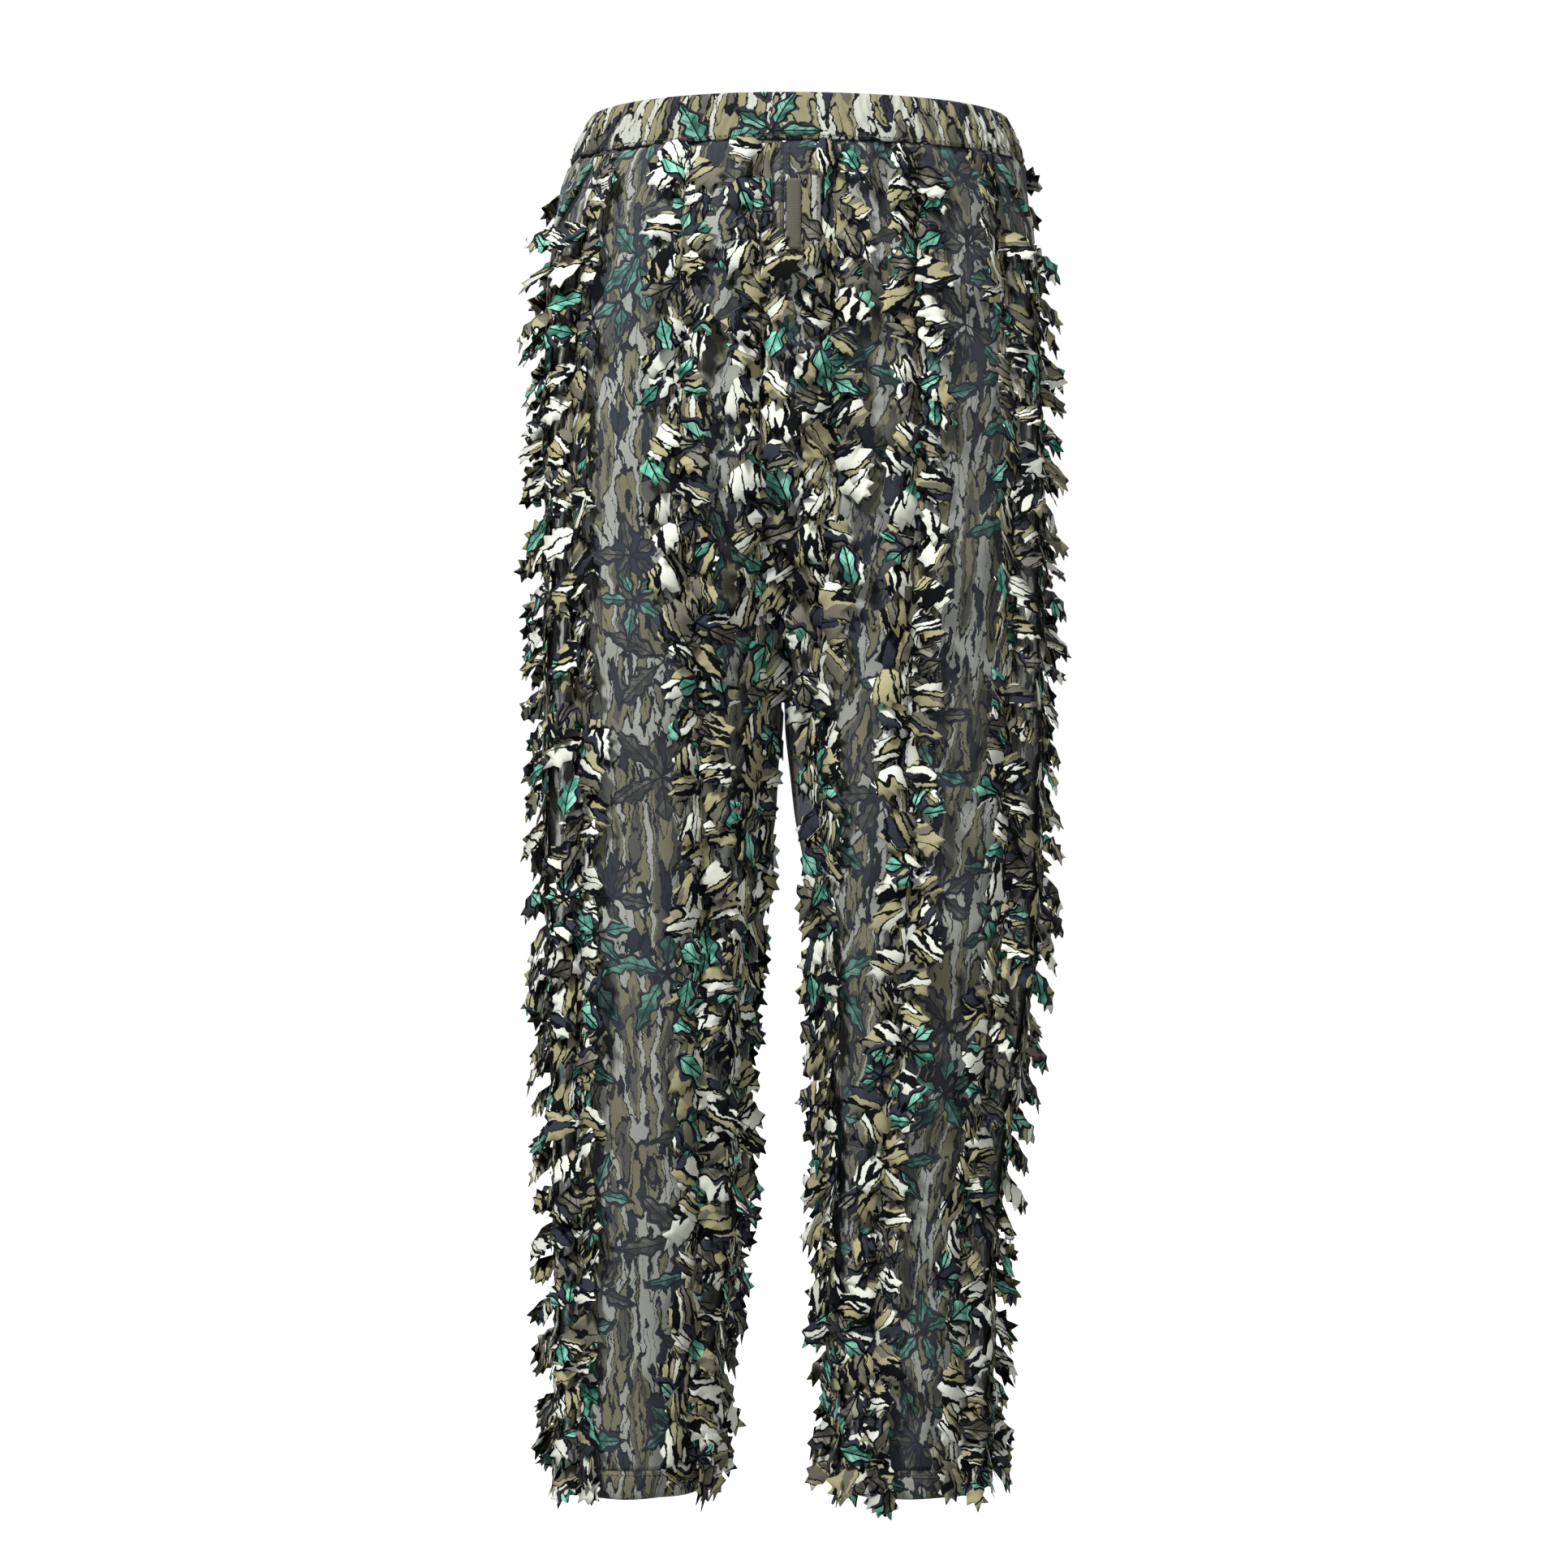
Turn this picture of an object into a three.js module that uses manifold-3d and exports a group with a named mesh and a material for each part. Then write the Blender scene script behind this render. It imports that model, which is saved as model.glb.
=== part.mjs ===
// Leaf-covered camouflage trousers, as they stand when worn: a print-cloth shell sewn from four leg panels,
// an elastic waistband, a fly, two slash pockets, turned-up hems, and long strips of cut leaves sewn down
// the legs. Millimetres, +Z up, the front faces -Y, and the wearer's right leg is on the -X side.
import * as THREE from "three";
import { mergeVertices } from "three/addons/utils/BufferGeometryUtils.js";
import Module from "manifold-3d";

const wasm = await Module();
wasm.setup();

// ---- Driving dimensions ----
const TOP_Z = 1070;
const BAND_HEIGHT = 38;
const BAND_Z = TOP_Z - BAND_HEIGHT;
const HIP_Z = 900;
const CROTCH_Z = 700;
const CROTCH_CURVE = 40;
const THIGH_Z = 560;
const HEM_HEIGHT = 22;

const GAP = 0.3;
const SHELL = 1.5;
const HEM_WALL = 4;
const CASING_WALL = 1.3;
const CASING_THICK = 7;
const ELASTIC_THICK = 2.8;
const ELASTIC_HEIGHT = 30;

const FLY_TOP = 1004;
const FLY_BOTTOM = 945;
const FLY_WIDTH = 27;
const SLIT = 3;
const LABEL_WIDTH = 40;
const LABEL_HEIGHT = 48;

const ROWS = 24;
const LEAF_THICK = 1.6;
const SPINE_STAND = 2.4;
const STRIP_TOP = BAND_Z - 4;
const STRIP_BOTTOM = HEM_HEIGHT + 2;

// The shell's outline at a few heights: the x of each leg's outer and inner edge, the y of its middle, and
// half its depth. Above the crotch the two legs join, so their inner edges there come from the crotch curve.
const STATIONS = [
  { z: 0, rightOuter: 180, rightInner: 54, leftInner: 34, leftOuter: 164, middle: 0, depth: 75 },
  { z: 100, rightOuter: 182, rightInner: 45, leftInner: 33, leftOuter: 163, middle: 4, depth: 76 },
  { z: 213, rightOuter: 183, rightInner: 34, leftInner: 30, leftOuter: 165, middle: 8, depth: 79 },
  { z: 340, rightOuter: 183, rightInner: 31, leftInner: 26, leftOuter: 183, middle: 8, depth: 83 },
  { z: 463, rightOuter: 184, rightInner: 18, leftInner: 25, leftOuter: 195, middle: 4, depth: 88 },
  { z: 585, rightOuter: 187, rightInner: 9, leftInner: 12, leftOuter: 198, middle: 4, depth: 100 },
  { z: CROTCH_Z, rightOuter: 190, rightInner: 1, leftInner: 1, leftOuter: 199, middle: 8, depth: 115 },
  { z: 800, rightOuter: 191, rightInner: 0, leftInner: 0, leftOuter: 201, middle: 8, depth: 128 },
  { z: 880, rightOuter: 188, rightInner: 0, leftInner: 0, leftOuter: 200, middle: 6, depth: 131 },
  { z: 960, rightOuter: 181, rightInner: 0, leftInner: 0, leftOuter: 196, middle: 3, depth: 122 },
  { z: BAND_Z, rightOuter: 166, rightInner: 0, leftInner: 0, leftOuter: 187, middle: 0, depth: 109 },
  { z: TOP_Z, rightOuter: 150, rightInner: 0, leftInner: 0, leftOuter: 173, middle: 0, depth: 101 },
];

// Where each leaf strip is sewn: its share of the leg's width, measured from the inner edge, at the hem, the
// knee, the hip and the waist. Its leaves reach and lift this far, and some strips start below the waist.
const STRIP_HEIGHTS = [0, 463, 760, TOP_Z];
const STRIPS = [
  { name: "inner_front", front: true, reach: 15, lift: 6 },
  { name: "front", front: true, reach: 24, lift: 13 },
  { name: "outer_front", front: true, reach: 20, lift: 13 },
  { name: "side_front", front: true, reach: 14, lift: 11, top: 960 },
  { name: "side_back", front: false, reach: 15, lift: 11 },
  { name: "outer_back", front: false, reach: 24, lift: 13 },
  { name: "back", front: false, reach: 26, lift: 13 },
  { name: "inner_back", front: false, reach: 15, lift: 6 },
];
const SEWN_AT = {
  right: {
    inner_front: [0.1, 0.1, 0.09, 0.1],
    front: [0.2, 0.28, 0.41, 0.42],
    outer_front: [0.87, 0.82, 0.84, 0.8],
    side_front: [0.985, 0.97, 0.97, 0.95],
    side_back: [0.96, 0.965, 0.965, 0.95],
    outer_back: [0.74, 0.76, 0.78, 0.76],
    back: [0.4, 0.42, 0.44, 0.44],
    inner_back: [0.1, 0.11, 0.13, 0.14],
  },
  left: {
    inner_front: [0.09, 0.1, 0.17, 0.21],
    front: [0.24, 0.43, 0.5, 0.5],
    outer_front: [0.76, 0.83, 0.86, 0.79],
    side_front: [0.97, 0.975, 0.98, 0.95],
    side_back: [0.96, 0.965, 0.965, 0.95],
    outer_back: [0.74, 0.76, 0.78, 0.76],
    back: [0.4, 0.42, 0.44, 0.44],
    inner_back: [0.1, 0.11, 0.13, 0.14],
  },
};

// ---- Materials ----
function cloth(color, roughness) {
  return new THREE.MeshStandardMaterial({ color, roughness, metalness: 0 });
}

const SHEER_CLOTH = 0x6e6a5c;
const PRINT_CLOTH = 0x7c7860;
const LEAF_CLOTH = 0x8b8668;
const DARK_CLOTH = 0x3f3d33;
const ELASTIC = 0xd8d6cf;
const LABEL = 0xe9e6dc;

// ---- The body that the cloth lies on ----

// A station column's value at height z, on a smooth curve through the stations.
function reading(column, z) {
  const next = STATIONS.findIndex((station) => station.z > 0 && station.z >= z);
  const [a, b] = [STATIONS[next - 1], STATIONS[next]];
  const before = STATIONS[Math.max(0, next - 2)];
  const after = STATIONS[Math.min(STATIONS.length - 1, next + 1)];
  const span = b.z - a.z;
  const t = THREE.MathUtils.clamp((z - a.z) / span, 0, 1);
  const startSlope = ((b[column] - before[column]) / (b.z - before.z)) * span;
  const endSlope = ((after[column] - a[column]) / (after.z - a.z)) * span;
  const [t2, t3] = [t * t, t * t * t];
  return (
    a[column] * (2 * t3 - 3 * t2 + 1) +
    b[column] * (3 * t2 - 2 * t3) +
    startSlope * (t3 - 2 * t2 + t) +
    endSlope * (t3 - t2)
  );
}

// A leg's section at height z is an ellipse, x outwards from the middle of the body, cut flat at its inner
// edge. From the thigh up the ellipse runs over the middle, until at the hip it is half of the whole body.
function section(side, z) {
  const outer = reading(side + "Outer", z);
  const edge = Math.max(GAP / 2, z < CROTCH_Z ? reading(side + "Inner", z) : 0);
  const join = THREE.MathUtils.smoothstep(z, THIGH_Z, HIP_Z) ** 1.5;
  const inner = THREE.MathUtils.lerp(edge, -outer, join);
  return {
    outer,
    edge,
    x: (outer + inner) / 2,
    y: reading("middle", z),
    across: (outer - inner) / 2,
    deep: reading("depth", z),
  };
}

// The angle round a leg, from its inner end, at which the cloth is this far from the middle of the body.
function angleAt(leg, distance) {
  return Math.acos(THREE.MathUtils.clamp((leg.x - distance) / leg.across, -1, 1));
}

// The point on a leg at this angle and height, moved outwards by stand.
function onLeg(side, angle, z, stand) {
  const leg = section(side, z);
  const round = leg.x - leg.across * Math.cos(angle);
  const out = new THREE.Vector2(-Math.cos(angle) / leg.across, -Math.sin(angle) / leg.deep).normalize();
  if (round < leg.edge) out.set(-1, 0);
  const x = Math.max(round, leg.edge) + out.x * stand;
  const y = leg.y - leg.deep * Math.sin(angle) + out.y * stand;
  return new THREE.Vector3(side === "right" ? -x : x, y, z);
}

// ---- Makers ----

// Turns a closed geometry's faces round if they point inwards.
function facingOut(geometry) {
  const solid = geometry.clone();
  solid.deleteAttribute("normal");
  solid.deleteAttribute("uv");
  const merged = mergeVertices(solid, 1e-4);
  const place = merged.attributes.position;
  const index = merged.index.array;
  const [a, b, c] = [new THREE.Vector3(), new THREE.Vector3(), new THREE.Vector3()];
  let volume = 0;
  for (let i = 0; i < index.length; i += 3) {
    a.fromBufferAttribute(place, index[i]);
    b.fromBufferAttribute(place, index[i + 1]);
    c.fromBufferAttribute(place, index[i + 2]);
    volume += a.dot(b.cross(c)) / 6;
  }
  for (let i = 0; i < index.length && volume < 0; i += 3) {
    [index[i + 1], index[i + 2]] = [index[i + 2], index[i + 1]];
  }
  merged.computeVertexNormals();
  return merged;
}

// A sheet of cloth: a thin box whose vertices are laid where lay(u, v, w) says, u across it, v up it, and
// w from its inside face, 0, to its outside face, 1.
function sheet(columns, rows, lay) {
  const geometry = new THREE.BoxGeometry(1, 1, 1, columns, rows, 1);
  const place = geometry.attributes.position;
  for (let i = 0; i < place.count; i++) {
    const point = lay(place.getX(i) + 0.5, place.getY(i) + 0.5, place.getZ(i) + 0.5);
    place.setXYZ(i, point.x, point.y, point.z);
  }
  return facingOut(geometry);
}

// A closed ring of cloth: a lathed section, whose points are [stand, z], bent round by follow.
function ring(outline, segments, follow) {
  const far = 1000;
  const profile = [...outline, outline[0]].map(([stand, z]) => new THREE.Vector2(far + stand, z));
  const geometry = new THREE.LatheGeometry(profile, segments);
  const place = geometry.attributes.position;
  for (let i = 0; i < place.count; i++) {
    const [x, z, y] = [place.getX(i), place.getY(i), place.getZ(i)];
    const point = follow(Math.atan2(y, x), Math.hypot(x, y) - far, z);
    place.setXYZ(i, point.x, point.y, point.z);
  }
  return facingOut(geometry);
}

function solidOf(geometry) {
  return new wasm.Manifold(
    new wasm.Mesh({
      numProp: 3,
      vertProperties: geometry.attributes.position.array,
      triVerts: new Uint32Array(geometry.index.array),
    }),
  );
}

function cutBy(geometry, cutters) {
  const left = cutters.reduce((solid, cutter) => solid.subtract(solidOf(cutter)), solidOf(geometry));
  const mesh = left.getMesh();
  return new THREE.BufferGeometry()
    .setAttribute("position", new THREE.BufferAttribute(mesh.vertProperties, 3))
    .setIndex(new THREE.BufferAttribute(mesh.triVerts, 1));
}

const part = new THREE.Group();

function add(name, geometry, color, roughness) {
  const mesh = new THREE.Mesh(geometry, cloth(color, roughness));
  mesh.name = name;
  part.add(mesh);
}

// ---- Leg panels ----

// The height of a panel's row at share v of the way up: even on the leg, and closer just above the crotch.
function panelHeight(v) {
  const legRows = 0.5;
  if (v <= legRows) return THREE.MathUtils.lerp(HEM_HEIGHT + GAP, CROTCH_Z, v / legRows);
  const climb = (v - legRows) / (1 - legRows);
  return THREE.MathUtils.lerp(CROTCH_Z, BAND_Z, climb ** 1.4);
}

function panel(side, front) {
  return sheet(12, ROWS, (u, v, w) => {
    const z = panelHeight(v);
    const leg = section(side, z);
    const seam = GAP / 2 / leg.deep;
    const curve = THREE.MathUtils.smoothstep(z, CROTCH_Z, CROTCH_Z + CROTCH_CURVE);
    const start = Math.max(seam, angleAt(leg, GAP / 2) * curve);
    const angle = THREE.MathUtils.lerp(start, Math.PI - seam, u);
    return onLeg(side, front ? angle : -angle, z, (w - 1) * SHELL);
  });
}

// The slash of a side pocket, from the waistband out to the side seam, as an angle at each height.
const POCKET_TOP = 1022;
const POCKET_BOTTOM = 968;
const POCKET_START = THREE.MathUtils.degToRad(152);
const POCKET_END = THREE.MathUtils.degToRad(173);

function pocketAngle(z) {
  return THREE.MathUtils.mapLinear(z, POCKET_TOP, POCKET_BOTTOM, POCKET_START, POCKET_END);
}

// A band of cloth along the pocket's edge, `from` to `to` mm round the body from the slit.
function pocketBand(side, rows, from, to, low, high) {
  return sheet(1, rows, (u, v, w) => {
    const z = THREE.MathUtils.lerp(POCKET_BOTTOM, POCKET_TOP, v);
    const leg = section(side, z);
    const round = THREE.MathUtils.lerp(from, to, u) / leg.deep;
    return onLeg(side, pocketAngle(z) + round, z, THREE.MathUtils.lerp(low, high, w));
  });
}

function flyBand(from, to, bottom, top, low, high) {
  return sheet(3, 3, (u, v, w) => {
    const z = THREE.MathUtils.lerp(bottom, top, v);
    const angle = angleAt(section("left", z), THREE.MathUtils.lerp(from, to, u));
    return onLeg("left", angle, z, THREE.MathUtils.lerp(low, high, w));
  });
}

function addPanels() {
  const cut = 6;
  for (const side of ["right", "left"]) {
    const cutters = [pocketBand(side, 3, -SLIT / 2, SLIT / 2, -cut, cut)];
    if (side === "left") cutters.push(flyBand(2, 2 + SLIT, FLY_BOTTOM + 4, FLY_TOP - 4, -cut, cut));
    add("front_panel_" + side, cutBy(panel(side, true), cutters), SHEER_CLOTH, 0.92);
    add("back_panel_" + side, panel(side, false), SHEER_CLOTH, 0.92);
    add("pocket_welt_" + side, pocketBand(side, 3, -9, -2, 1, 2.3), PRINT_CLOTH, 0.9);
  }
}

function addFly() {
  add("fly_placket", flyBand(1, FLY_WIDTH, FLY_BOTTOM, FLY_TOP, 1, 2.2), PRINT_CLOTH, 0.9);
  add("fly_underlap", flyBand(0.5, FLY_WIDTH + 6, FLY_BOTTOM - 8, FLY_TOP + 6, -4.4, -3.2), DARK_CLOTH, 0.92);
}

// ---- Waist and hems ----

// Round the waist, where the two legs' outlines meet at the middle of the body, angle 0 is at +X.
function roundWaist(angle, stand, z) {
  const side = Math.cos(angle) < 0 ? "right" : "left";
  const leg = section(side, z);
  const out = new THREE.Vector2(Math.cos(angle) / leg.outer, Math.sin(angle) / leg.deep).normalize();
  const x = leg.outer * Math.cos(angle) + out.x * stand;
  return new THREE.Vector3(x, leg.y + leg.deep * Math.sin(angle) + out.y * stand, z);
}

function addWaistband() {
  const bottom = BAND_Z + GAP;
  const fold = 2;
  const inside = -CASING_THICK;
  const casing = [
    [0, bottom],
    [0, TOP_Z - fold],
    [-fold, TOP_Z],
    [inside + fold, TOP_Z],
    [inside, TOP_Z - fold],
    [inside, bottom],
    [inside + CASING_WALL, bottom],
    [inside + CASING_WALL, TOP_Z - fold - CASING_WALL],
    [-CASING_WALL, TOP_Z - fold - CASING_WALL],
    [-CASING_WALL, bottom],
  ];
  add("waistband_casing", ring(casing, 48, roundWaist), PRINT_CLOTH, 0.88);
  const middle = -CASING_THICK / 2;
  const low = BAND_Z + 3;
  const elastic = [
    [middle + ELASTIC_THICK / 2, low],
    [middle + ELASTIC_THICK / 2, low + ELASTIC_HEIGHT],
    [middle - ELASTIC_THICK / 2, low + ELASTIC_HEIGHT],
    [middle - ELASTIC_THICK / 2, low],
  ];
  add("waist_elastic", ring(elastic, 48, roundWaist), ELASTIC, 0.8);
}

function addHems() {
  const outline = [
    [0, 0],
    [0, HEM_HEIGHT],
    [-HEM_WALL, HEM_HEIGHT],
    [-HEM_WALL, 0],
  ];
  for (const side of ["right", "left"]) {
    const follow = (angle, stand, z) => onLeg(side, angle, z, stand);
    add("hem_band_" + side, ring(outline, 32, follow), PRINT_CLOTH, 0.9);
  }
}

function addLabel() {
  const top = BAND_Z - 2;
  const geometry = sheet(2, 2, (u, v, w) => {
    const x = (u - 0.5) * LABEL_WIDTH;
    const z = THREE.MathUtils.lerp(top - LABEL_HEIGHT, top, v);
    const angle = Math.acos(x / reading("leftOuter", z));
    return roundWaist(angle, THREE.MathUtils.lerp(-4.2, -3.2, w), z);
  });
  add("size_label", geometry, LABEL, 0.7);
}

// ---- Leaf strips ----

// A value given at the strip heights, on straight lines between them.
function stripShare(shares, z) {
  const i = Math.min(STRIP_HEIGHTS.length - 2, STRIP_HEIGHTS.filter((h) => h <= z).length - 1);
  return THREE.MathUtils.mapLinear(z, STRIP_HEIGHTS[i], STRIP_HEIGHTS[i + 1], shares[i], shares[i + 1]);
}

// The angle round the leg at which a strip is sewn, from the inner end, by the front, to a full turn.
function spineAngle(side, strip, z) {
  const leg = section(side, z);
  const share = stripShare(SEWN_AT[side][strip.name], z);
  const angle = angleAt(leg, THREE.MathUtils.lerp(leg.edge, leg.outer, share));
  return strip.front ? angle : 2 * Math.PI - angle;
}

// How far a strip's leaves may reach before they meet those of the next strip.
function leafRoom(side, strip, z, radius) {
  const spine = spineAngle(side, strip, z);
  const others = STRIPS.filter((other) => other !== strip);
  const gaps = others.map((other) => Math.abs(spine - spineAngle(side, other, z)) * radius);
  return Math.min(strip.reach, 0.46 * Math.min(...gaps) - 1);
}

// One strip: a ribbon sewn along its middle, whose leafy edges rise off the cloth and zigzag in and out.
function leafStrip(side, strip) {
  const clear = 7;
  return sheet(2, ROWS, (u, v, w) => {
    const z = THREE.MathUtils.lerp(STRIP_BOTTOM, strip.top ?? STRIP_TOP, v);
    const leg = section(side, z);
    const spine = spineAngle(side, strip, z);
    const radius = Math.hypot(leg.across * Math.sin(spine), leg.deep * Math.cos(spine));
    const tooth = Math.round(v * ROWS) % 2 ? 1 : 0.72;
    const wing = (u - 0.5) * 2;
    const round = (wing * leafRoom(side, strip, z, radius) * tooth) / radius;
    const least = Math.max(0.06, angleAt(leg, clear));
    const angle = THREE.MathUtils.clamp(spine + round, least, 2 * Math.PI - least);
    const lift = THREE.MathUtils.lerp(SPINE_STAND, strip.lift * tooth, Math.abs(wing));
    return onLeg(side, angle, z, lift + w * LEAF_THICK);
  });
}

function addLeafStrips() {
  for (const side of ["right", "left"]) {
    for (const strip of STRIPS) {
      add(`leaf_strip_${strip.name}_${side}`, leafStrip(side, strip), LEAF_CLOTH, 0.9);
    }
  }
}

addPanels();
addFly();
addWaistband();
addHems();
addLabel();
addLeafStrips();

// The origin is at the middle of the whole, on the ground that the hems stand on.
const extent = new THREE.Box3().setFromObject(part);
const middle = extent.getCenter(new THREE.Vector3());
part.position.set(-middle.x, -middle.y, -extent.min.z);

export default part;
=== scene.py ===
# %% [markdown]
# # Leafy camouflage trousers
# The object is a pair of pull-on trousers in a thin camouflage cloth. Long strips of cut cloth leaves
# are sewn down the legs, so that they break up the wearer's outline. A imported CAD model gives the
# frame: where the waistband, the panels and the hems are. This lesson makes the cloth that is seen:
# panels with folds, a gathered waistband, over a thousand leaves, the thread that holds them, and one
# printed pattern for all.

# %% Load the frame
import math
import random
import bmesh
import bpy
import numpy as np
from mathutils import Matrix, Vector, noise


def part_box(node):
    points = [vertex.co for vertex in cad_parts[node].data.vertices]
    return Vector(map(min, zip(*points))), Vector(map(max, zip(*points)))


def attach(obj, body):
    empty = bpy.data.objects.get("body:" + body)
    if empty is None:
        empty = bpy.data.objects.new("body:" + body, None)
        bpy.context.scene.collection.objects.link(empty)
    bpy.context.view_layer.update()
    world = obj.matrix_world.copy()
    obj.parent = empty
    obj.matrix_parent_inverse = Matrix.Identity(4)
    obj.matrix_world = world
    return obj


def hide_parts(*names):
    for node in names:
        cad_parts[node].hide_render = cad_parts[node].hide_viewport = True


SIDES = ("right", "left")

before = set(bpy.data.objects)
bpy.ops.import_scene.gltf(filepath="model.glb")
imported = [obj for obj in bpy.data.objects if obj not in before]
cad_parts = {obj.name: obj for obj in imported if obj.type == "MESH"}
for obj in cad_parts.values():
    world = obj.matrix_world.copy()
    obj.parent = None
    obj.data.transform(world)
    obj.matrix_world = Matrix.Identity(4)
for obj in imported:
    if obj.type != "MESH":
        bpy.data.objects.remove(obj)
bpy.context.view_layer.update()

# %% [markdown]
# ## The camera first
# A camera at half the height of the trousers, looking straight at their front, sees the waist a little
# from below and the hems a little from above, so both curve. It stands 2.6 m away, with a longer lens
# than usual, to keep the legs straight.

# %% Camera
band_low, band_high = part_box("waistband_casing")
MIDDLE_X = (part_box("front_panel_right")[1].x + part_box("front_panel_left")[0].x) / 2
MIDDLE_Y = (band_low.y + band_high.y) / 2
TOP_Z, BAND_Z = band_high.z, band_low.z
HEM_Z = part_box("hem_band_right")[1].z
CAMERA_DISTANCE = 2.6
CAMERA_HEIGHT = 0.511 * TOP_Z
LENS_MM, SENSOR_MM = 76, 36

camera = bpy.data.objects.new("camera", bpy.data.cameras.new("camera"))
bpy.context.collection.objects.link(camera)
camera.location = (MIDDLE_X, MIDDLE_Y - CAMERA_DISTANCE, CAMERA_HEIGHT)
camera.rotation_euler = (math.radians(90), 0, 0)
camera.data.lens = LENS_MM
camera.data.sensor_width = SENSOR_MM
bpy.context.scene.camera = camera
print("camera at", camera.location)

# %% [markdown]
# ## The body under the cloth
# Cloth has no shape of its own: it takes the shape of what it hangs on. A few sections describe the
# hidden legs and hips. Each section is an ellipse, cut flat where the two legs meet. Above the crotch
# the ellipse runs over the middle of the body, so that the two halves grow into one oval at the hip.

# %% Sections of the two legs
CROTCH_Z = 0.700
CROTCH_CURVE = 0.040
THIGH_Z = 0.560
HIP_Z = 0.900
SEAM_GAP = 0.00004
COLUMNS = ("z", "right_outer", "right_inner", "left_outer", "left_inner", "middle", "depth")
SECTIONS = np.array([
    (0.000, 0.180, 0.054, 0.164, 0.034, 0.000, 0.075),
    (0.100, 0.182, 0.045, 0.163, 0.033, 0.004, 0.076),
    (0.213, 0.183, 0.034, 0.165, 0.030, 0.008, 0.079),
    (0.340, 0.183, 0.031, 0.183, 0.026, 0.008, 0.083),
    (0.463, 0.184, 0.014, 0.195, 0.020, 0.004, 0.088),
    (0.585, 0.187, 0.003, 0.198, 0.004, 0.004, 0.100),
    (CROTCH_Z, 0.190, 0.0004, 0.199, 0.0004, 0.008, 0.115),
    (0.800, 0.191, 0.000, 0.201, 0.000, 0.008, 0.128),
    (0.880, 0.188, 0.000, 0.200, 0.000, 0.006, 0.131),
    (0.960, 0.181, 0.000, 0.196, 0.000, 0.003, 0.122),
    (BAND_Z, 0.166, 0.000, 0.187, 0.000, 0.000, 0.109),
    (TOP_Z, 0.150, 0.000, 0.173, 0.000, 0.000, 0.101),
])


def reading(column, z):
    """A column's value at height z, on a smooth curve through the sections."""
    heights, values = SECTIONS[:, 0], SECTIONS[:, COLUMNS.index(column)]
    slopes = np.empty(len(values))
    slopes[1:-1] = (values[2:] - values[:-2]) / (heights[2:] - heights[:-2])
    slopes[0] = (values[1] - values[0]) / (heights[1] - heights[0])
    slopes[-1] = (values[-1] - values[-2]) / (heights[-1] - heights[-2])
    i = np.clip(np.searchsorted(heights, z) - 1, 0, len(heights) - 2)
    span = heights[i + 1] - heights[i]
    t = np.clip((z - heights[i]) / span, 0, 1)
    start, end = (2 * t - 3) * t * t + 1, (3 - 2 * t) * t * t
    bend = span * (slopes[i] * t * (1 - t) ** 2 - slopes[i + 1] * t * t * (1 - t))
    return values[i] * start + values[i + 1] * end + bend


def ease(low, high, x):
    """0 below low, 1 above high, and a smooth step between."""
    t = np.clip((x - low) / (high - low), 0, 1)
    return t * t * (3 - 2 * t)


def section(side, z):
    """The ellipse of one leg at height z, with x outwards from the middle of the body."""
    outer = reading(side + "_outer", z)
    edge = np.maximum(SEAM_GAP / 2, np.where(z < CROTCH_Z, reading(side + "_inner", z), 0))
    inner = edge + (-outer - edge) * ease(THIGH_Z, HIP_Z, z) ** 1.5
    return {
        "outer": outer,
        "edge": edge,
        "x": (outer + inner) / 2,
        "across": (outer - inner) / 2,
        "y": reading("middle", z),
        "deep": reading("depth", z),
    }


def angle_at(leg, distance):
    """The angle round a leg, from its inner end, where it is this far from the middle of the body."""
    return np.arccos(np.clip((leg["x"] - distance) / leg["across"], -1, 1))


def body_point(side, angle, z, stand=0.0):
    """Points on the body, moved outwards by stand. Angles run from the inner end round by the front."""
    angle, z = np.broadcast_arrays(np.asarray(angle, float), np.asarray(z, float))
    leg = section(side, z)
    out_x, out_y = -np.cos(angle) / leg["across"], -np.sin(angle) / leg["deep"]
    size = np.hypot(out_x, out_y)
    x = leg["x"] - leg["across"] * np.cos(angle)
    flat = x < leg["edge"]
    out_x, out_y = np.where(flat, -1, out_x / size), np.where(flat, 0, out_y / size)
    x = np.maximum(x, leg["edge"]) + out_x * stand
    y = leg["y"] - leg["deep"] * np.sin(angle) + out_y * stand
    sign = -1 if side == "right" else 1
    return np.stack([MIDDLE_X + sign * x, MIDDLE_Y + y, z], axis=-1)


HIP_WIDEST_Z = 0.880
print("hips", 2 * float(reading("depth", HIP_WIDEST_Z)), "m deep")

# %% [markdown]
# ## Folds
# Thin cloth that hangs from an elastic shows three kinds of fold: fine gathers just under the
# waistband, long soft drapes down the legs, and short creases that fan out from the crotch and cross
# the knee and the ankle. Each is a small height added along the surface. Every wave has a whole number
# of turns round the leg, so the two edges of a seam always meet. The heights fade out where the panels
# are sewn together.

# %% Fold heights
DRAPE_SCALE, SMALL_SCALE = 9.0, 3.2 * 9.0
DRAPE, SMALL_FOLD = 0.0085, 0.0022
FINE_GATHER, WIDE_GATHER = 0.0011, 0.0018
CROTCH_CREASE, KNEE_CREASE, ANKLE_CREASE = 0.003, 0.0016, 0.0014
KNEE_Z = 0.43


def soft_noise(points, scale):
    """Smooth noise at many points."""
    heights = [noise.noise(Vector(point) * scale) for point in points.reshape(-1, 3)]
    return np.array(heights).reshape(points.shape[:-1])


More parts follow.
